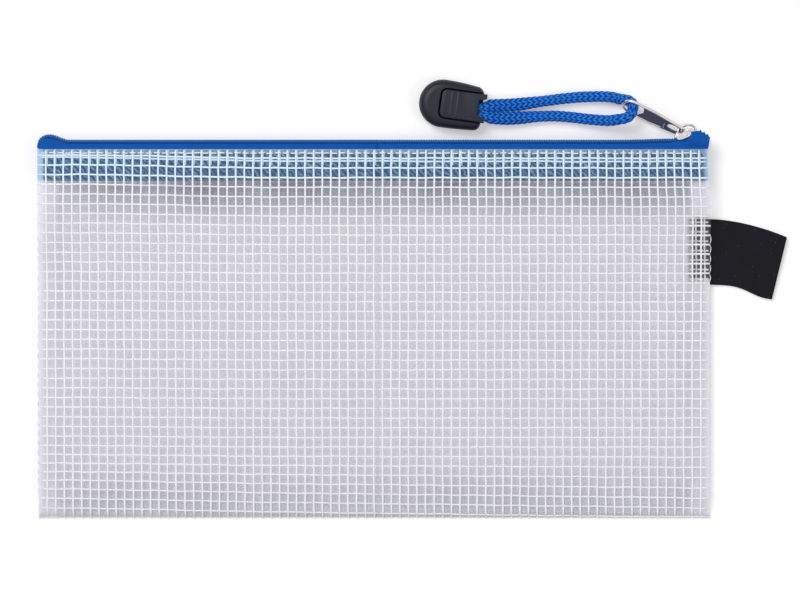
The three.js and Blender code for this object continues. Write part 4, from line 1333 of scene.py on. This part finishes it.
# %% Cord end's own directions
SHELL_SHOULDER = 13.6  # from the mouth to where the round end starts
SHELL_HALF = 8.2
SHELL_MOUTH_HALF = (7.0, 7.6)  # on the side away from the pouch and on the side towards it
SHELL_HEIGHT = 6.4
SHELL_MOUTH_ROUND = 2.3
LID_LENGTH = 14.4
LID_HALF = 4.95
LID_PROUD = 1.1
LID_CORNER = 2.0
NOTCH_END = 1.5
POCKET_CORNER = 2.2
RIBS = (13.2, 10.7, 8.6)  # on the lid, from the mouth
shell_turn = math.radians(172)
shell_mouth = (37.0, TOP + 10.1)


def in_shell(x, y, z):
    """A point of the cord end: x from the mouth to the round end, y across and z up."""
    cos, sin = math.cos(shell_turn), math.sin(shell_turn)
    return np.stack([shell_mouth[0] + x * cos - y * sin, shell_mouth[1] + x * sin + y * cos, z + 0 * x], -1)


def round_over(distance, radius):
    """0 at an edge and 1 from the radius on, along a quarter of a circle."""
    t = np.clip(distance / radius, 0, 1)
    return np.sqrt(1 - (1 - t) ** 2)


# %% Shell
def shell_sheet():
    """Columns run from the mouth to the round end, rows across. Width: a quarter of a sine wave up
    to the shoulder, then half a circle. The upper face drops to the floor of the lid's pocket."""
    s = np.linspace(0, 1, 190)
    start = math.asin(0.05 * SHELL_SHOULDER / SHELL_HALF)
    arc = start + (np.pi / 2 - start) * (s - 0.72) / 0.28
    x = np.where(s < 0.72, s / 0.72 * SHELL_SHOULDER * 1.05, SHELL_SHOULDER + SHELL_HALF * np.sin(arc))
    x, v = np.meshgrid(x, np.linspace(-1, 1, 150))
    mouth_half = np.where(v < 0, *SHELL_MOUTH_HALF)
    taper = mouth_half + (SHELL_HALF - mouth_half) * np.sin(np.pi / 2 * np.minimum(x / SHELL_SHOULDER, 1))
    circle = np.sqrt(np.clip(SHELL_HALF ** 2 - (x - SHELL_SHOULDER) ** 2, 0, None))
    half = np.where(x < SHELL_SHOULDER, taper, circle)
    half = half - SHELL_MOUTH_ROUND * (1 - round_over(x, SHELL_MOUTH_ROUND))
    y = v * half
    reach = np.where(x < SHELL_SHOULDER, half - np.abs(y), SHELL_HALF - np.hypot(x - SHELL_SHOULDER, y))
    middle = SHELL_HEIGHT / 2
    high = middle + middle * np.minimum(round_over(reach, 3.2), round_over(x + 0.15, 1.4))
    low = middle - middle * round_over(reach, 2.0)
    # the lid's pocket: inside a rounded rectangle 0.3 mm larger than the lid
    qx = x - (LID_LENGTH + 0.3 - POCKET_CORNER)
    qy = np.abs(y) - (LID_HALF + 0.3 - POCKET_CORNER)
    outside = np.hypot(np.maximum(qx, 0), np.maximum(qy, 0)) + np.minimum(np.maximum(qx, qy), 0)
    high = high + (1.0 - high) * smoothstep(0.08, -0.08, outside - POCKET_CORNER)
    return face_outwards(closed_sheet("cord_end_case", in_shell(x, y, high), in_shell(x, y, low)))


# %% Lid
def lid_sheet():
    """Rows across. The mouth end has a notch for the cord, and the inner end has round corners."""
    v, s = np.meshgrid(np.linspace(-1, 1, 90), np.linspace(0, 1, 110), indexing="ij")
    y = LID_HALF * v
    out = np.abs(y)
    inner = LID_LENGTH - LID_CORNER * (
        1 - np.sqrt(1 - np.clip((out - LID_HALF + LID_CORNER) / LID_CORNER, 0, 1) ** 2))
    mouth = -LID_PROUD + (NOTCH_END + LID_PROUD) * smoothstep(3.4, 2.5, out)
    x = mouth + (inner - mouth) * s
    edge = np.minimum(np.minimum(inner - x + 0.04, LID_HALF - out + 0.04), x - mouth + 0.1)
    high = SHELL_HEIGHT - 0.75 + 0.55 * round_over(edge, 0.6) + 0.2 * (1 - v ** 2)
    for rib in RIBS:
        high = high + 0.14 * np.exp(-((x - rib) / 0.3) ** 2) * smoothstep(LID_HALF - 0.5, LID_HALF - 1.4, out)
    high = high - 0.25 * smoothstep(8.0, 7.4, x) * smoothstep(2.0, 7.0, x)
    low = SHELL_HEIGHT - 1.25
    return face_outwards(closed_sheet("cord_end_lid", in_shell(x, y, high), in_shell(x, y, low)))


# %% Knot: the construction model's own shape with round edges
def knot_bulge():
    """A copy of the knot with merged corners, flat areas made whole, and round edges."""
    mesh = frame["nodes"]["cord_knot"].data.copy()
    mesh.name = "cord_knot_bulge"
    work = bmesh.new()
    work.from_mesh(mesh)
    bmesh.ops.remove_doubles(work, verts=work.verts, dist=1e-6)
    bmesh.ops.dissolve_limit(work, angle_limit=math.radians(1), verts=work.verts, edges=work.edges)
    work.to_mesh(mesh)
    work.free()
    mesh.materials.clear()
    mesh.polygons.foreach_set("use_smooth", np.ones(len(mesh.polygons), bool))
    piece = placed(mesh.name, mesh)
    round_edges = piece.modifiers.new("round_edges", "BEVEL")
    round_edges.width = 0.1 * MM
    round_edges.segments = 2
    round_edges.limit_method = "ANGLE"
    round_edges.angle_limit = math.radians(80)
    piece.modifiers.new("keep_flats", "WEIGHTED_NORMAL").keep_sharp = True
    return piece


# %% Cord end's pieces
plastic, tree, shader, where = finish_material(
    "satin_plastic", (11, 13, 25), (21, 24, 38), (0.36, 0.52), 260.0, Specular_IOR_Level=0.32)
grain(tree, shader, where, 4200.0, 0.03, 0.7)
shell = shell_sheet()
lid = lid_sheet()
knot = knot_bulge()
dress([shell, lid], plastic, "pull_loop")
dress([knot], core_blue, "pull_loop")
for piece, node in ((shell, "cord_end_shell"), (lid, "cord_end_clip"), (knot, "cord_knot")):
    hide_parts(node)
print("cord end done")
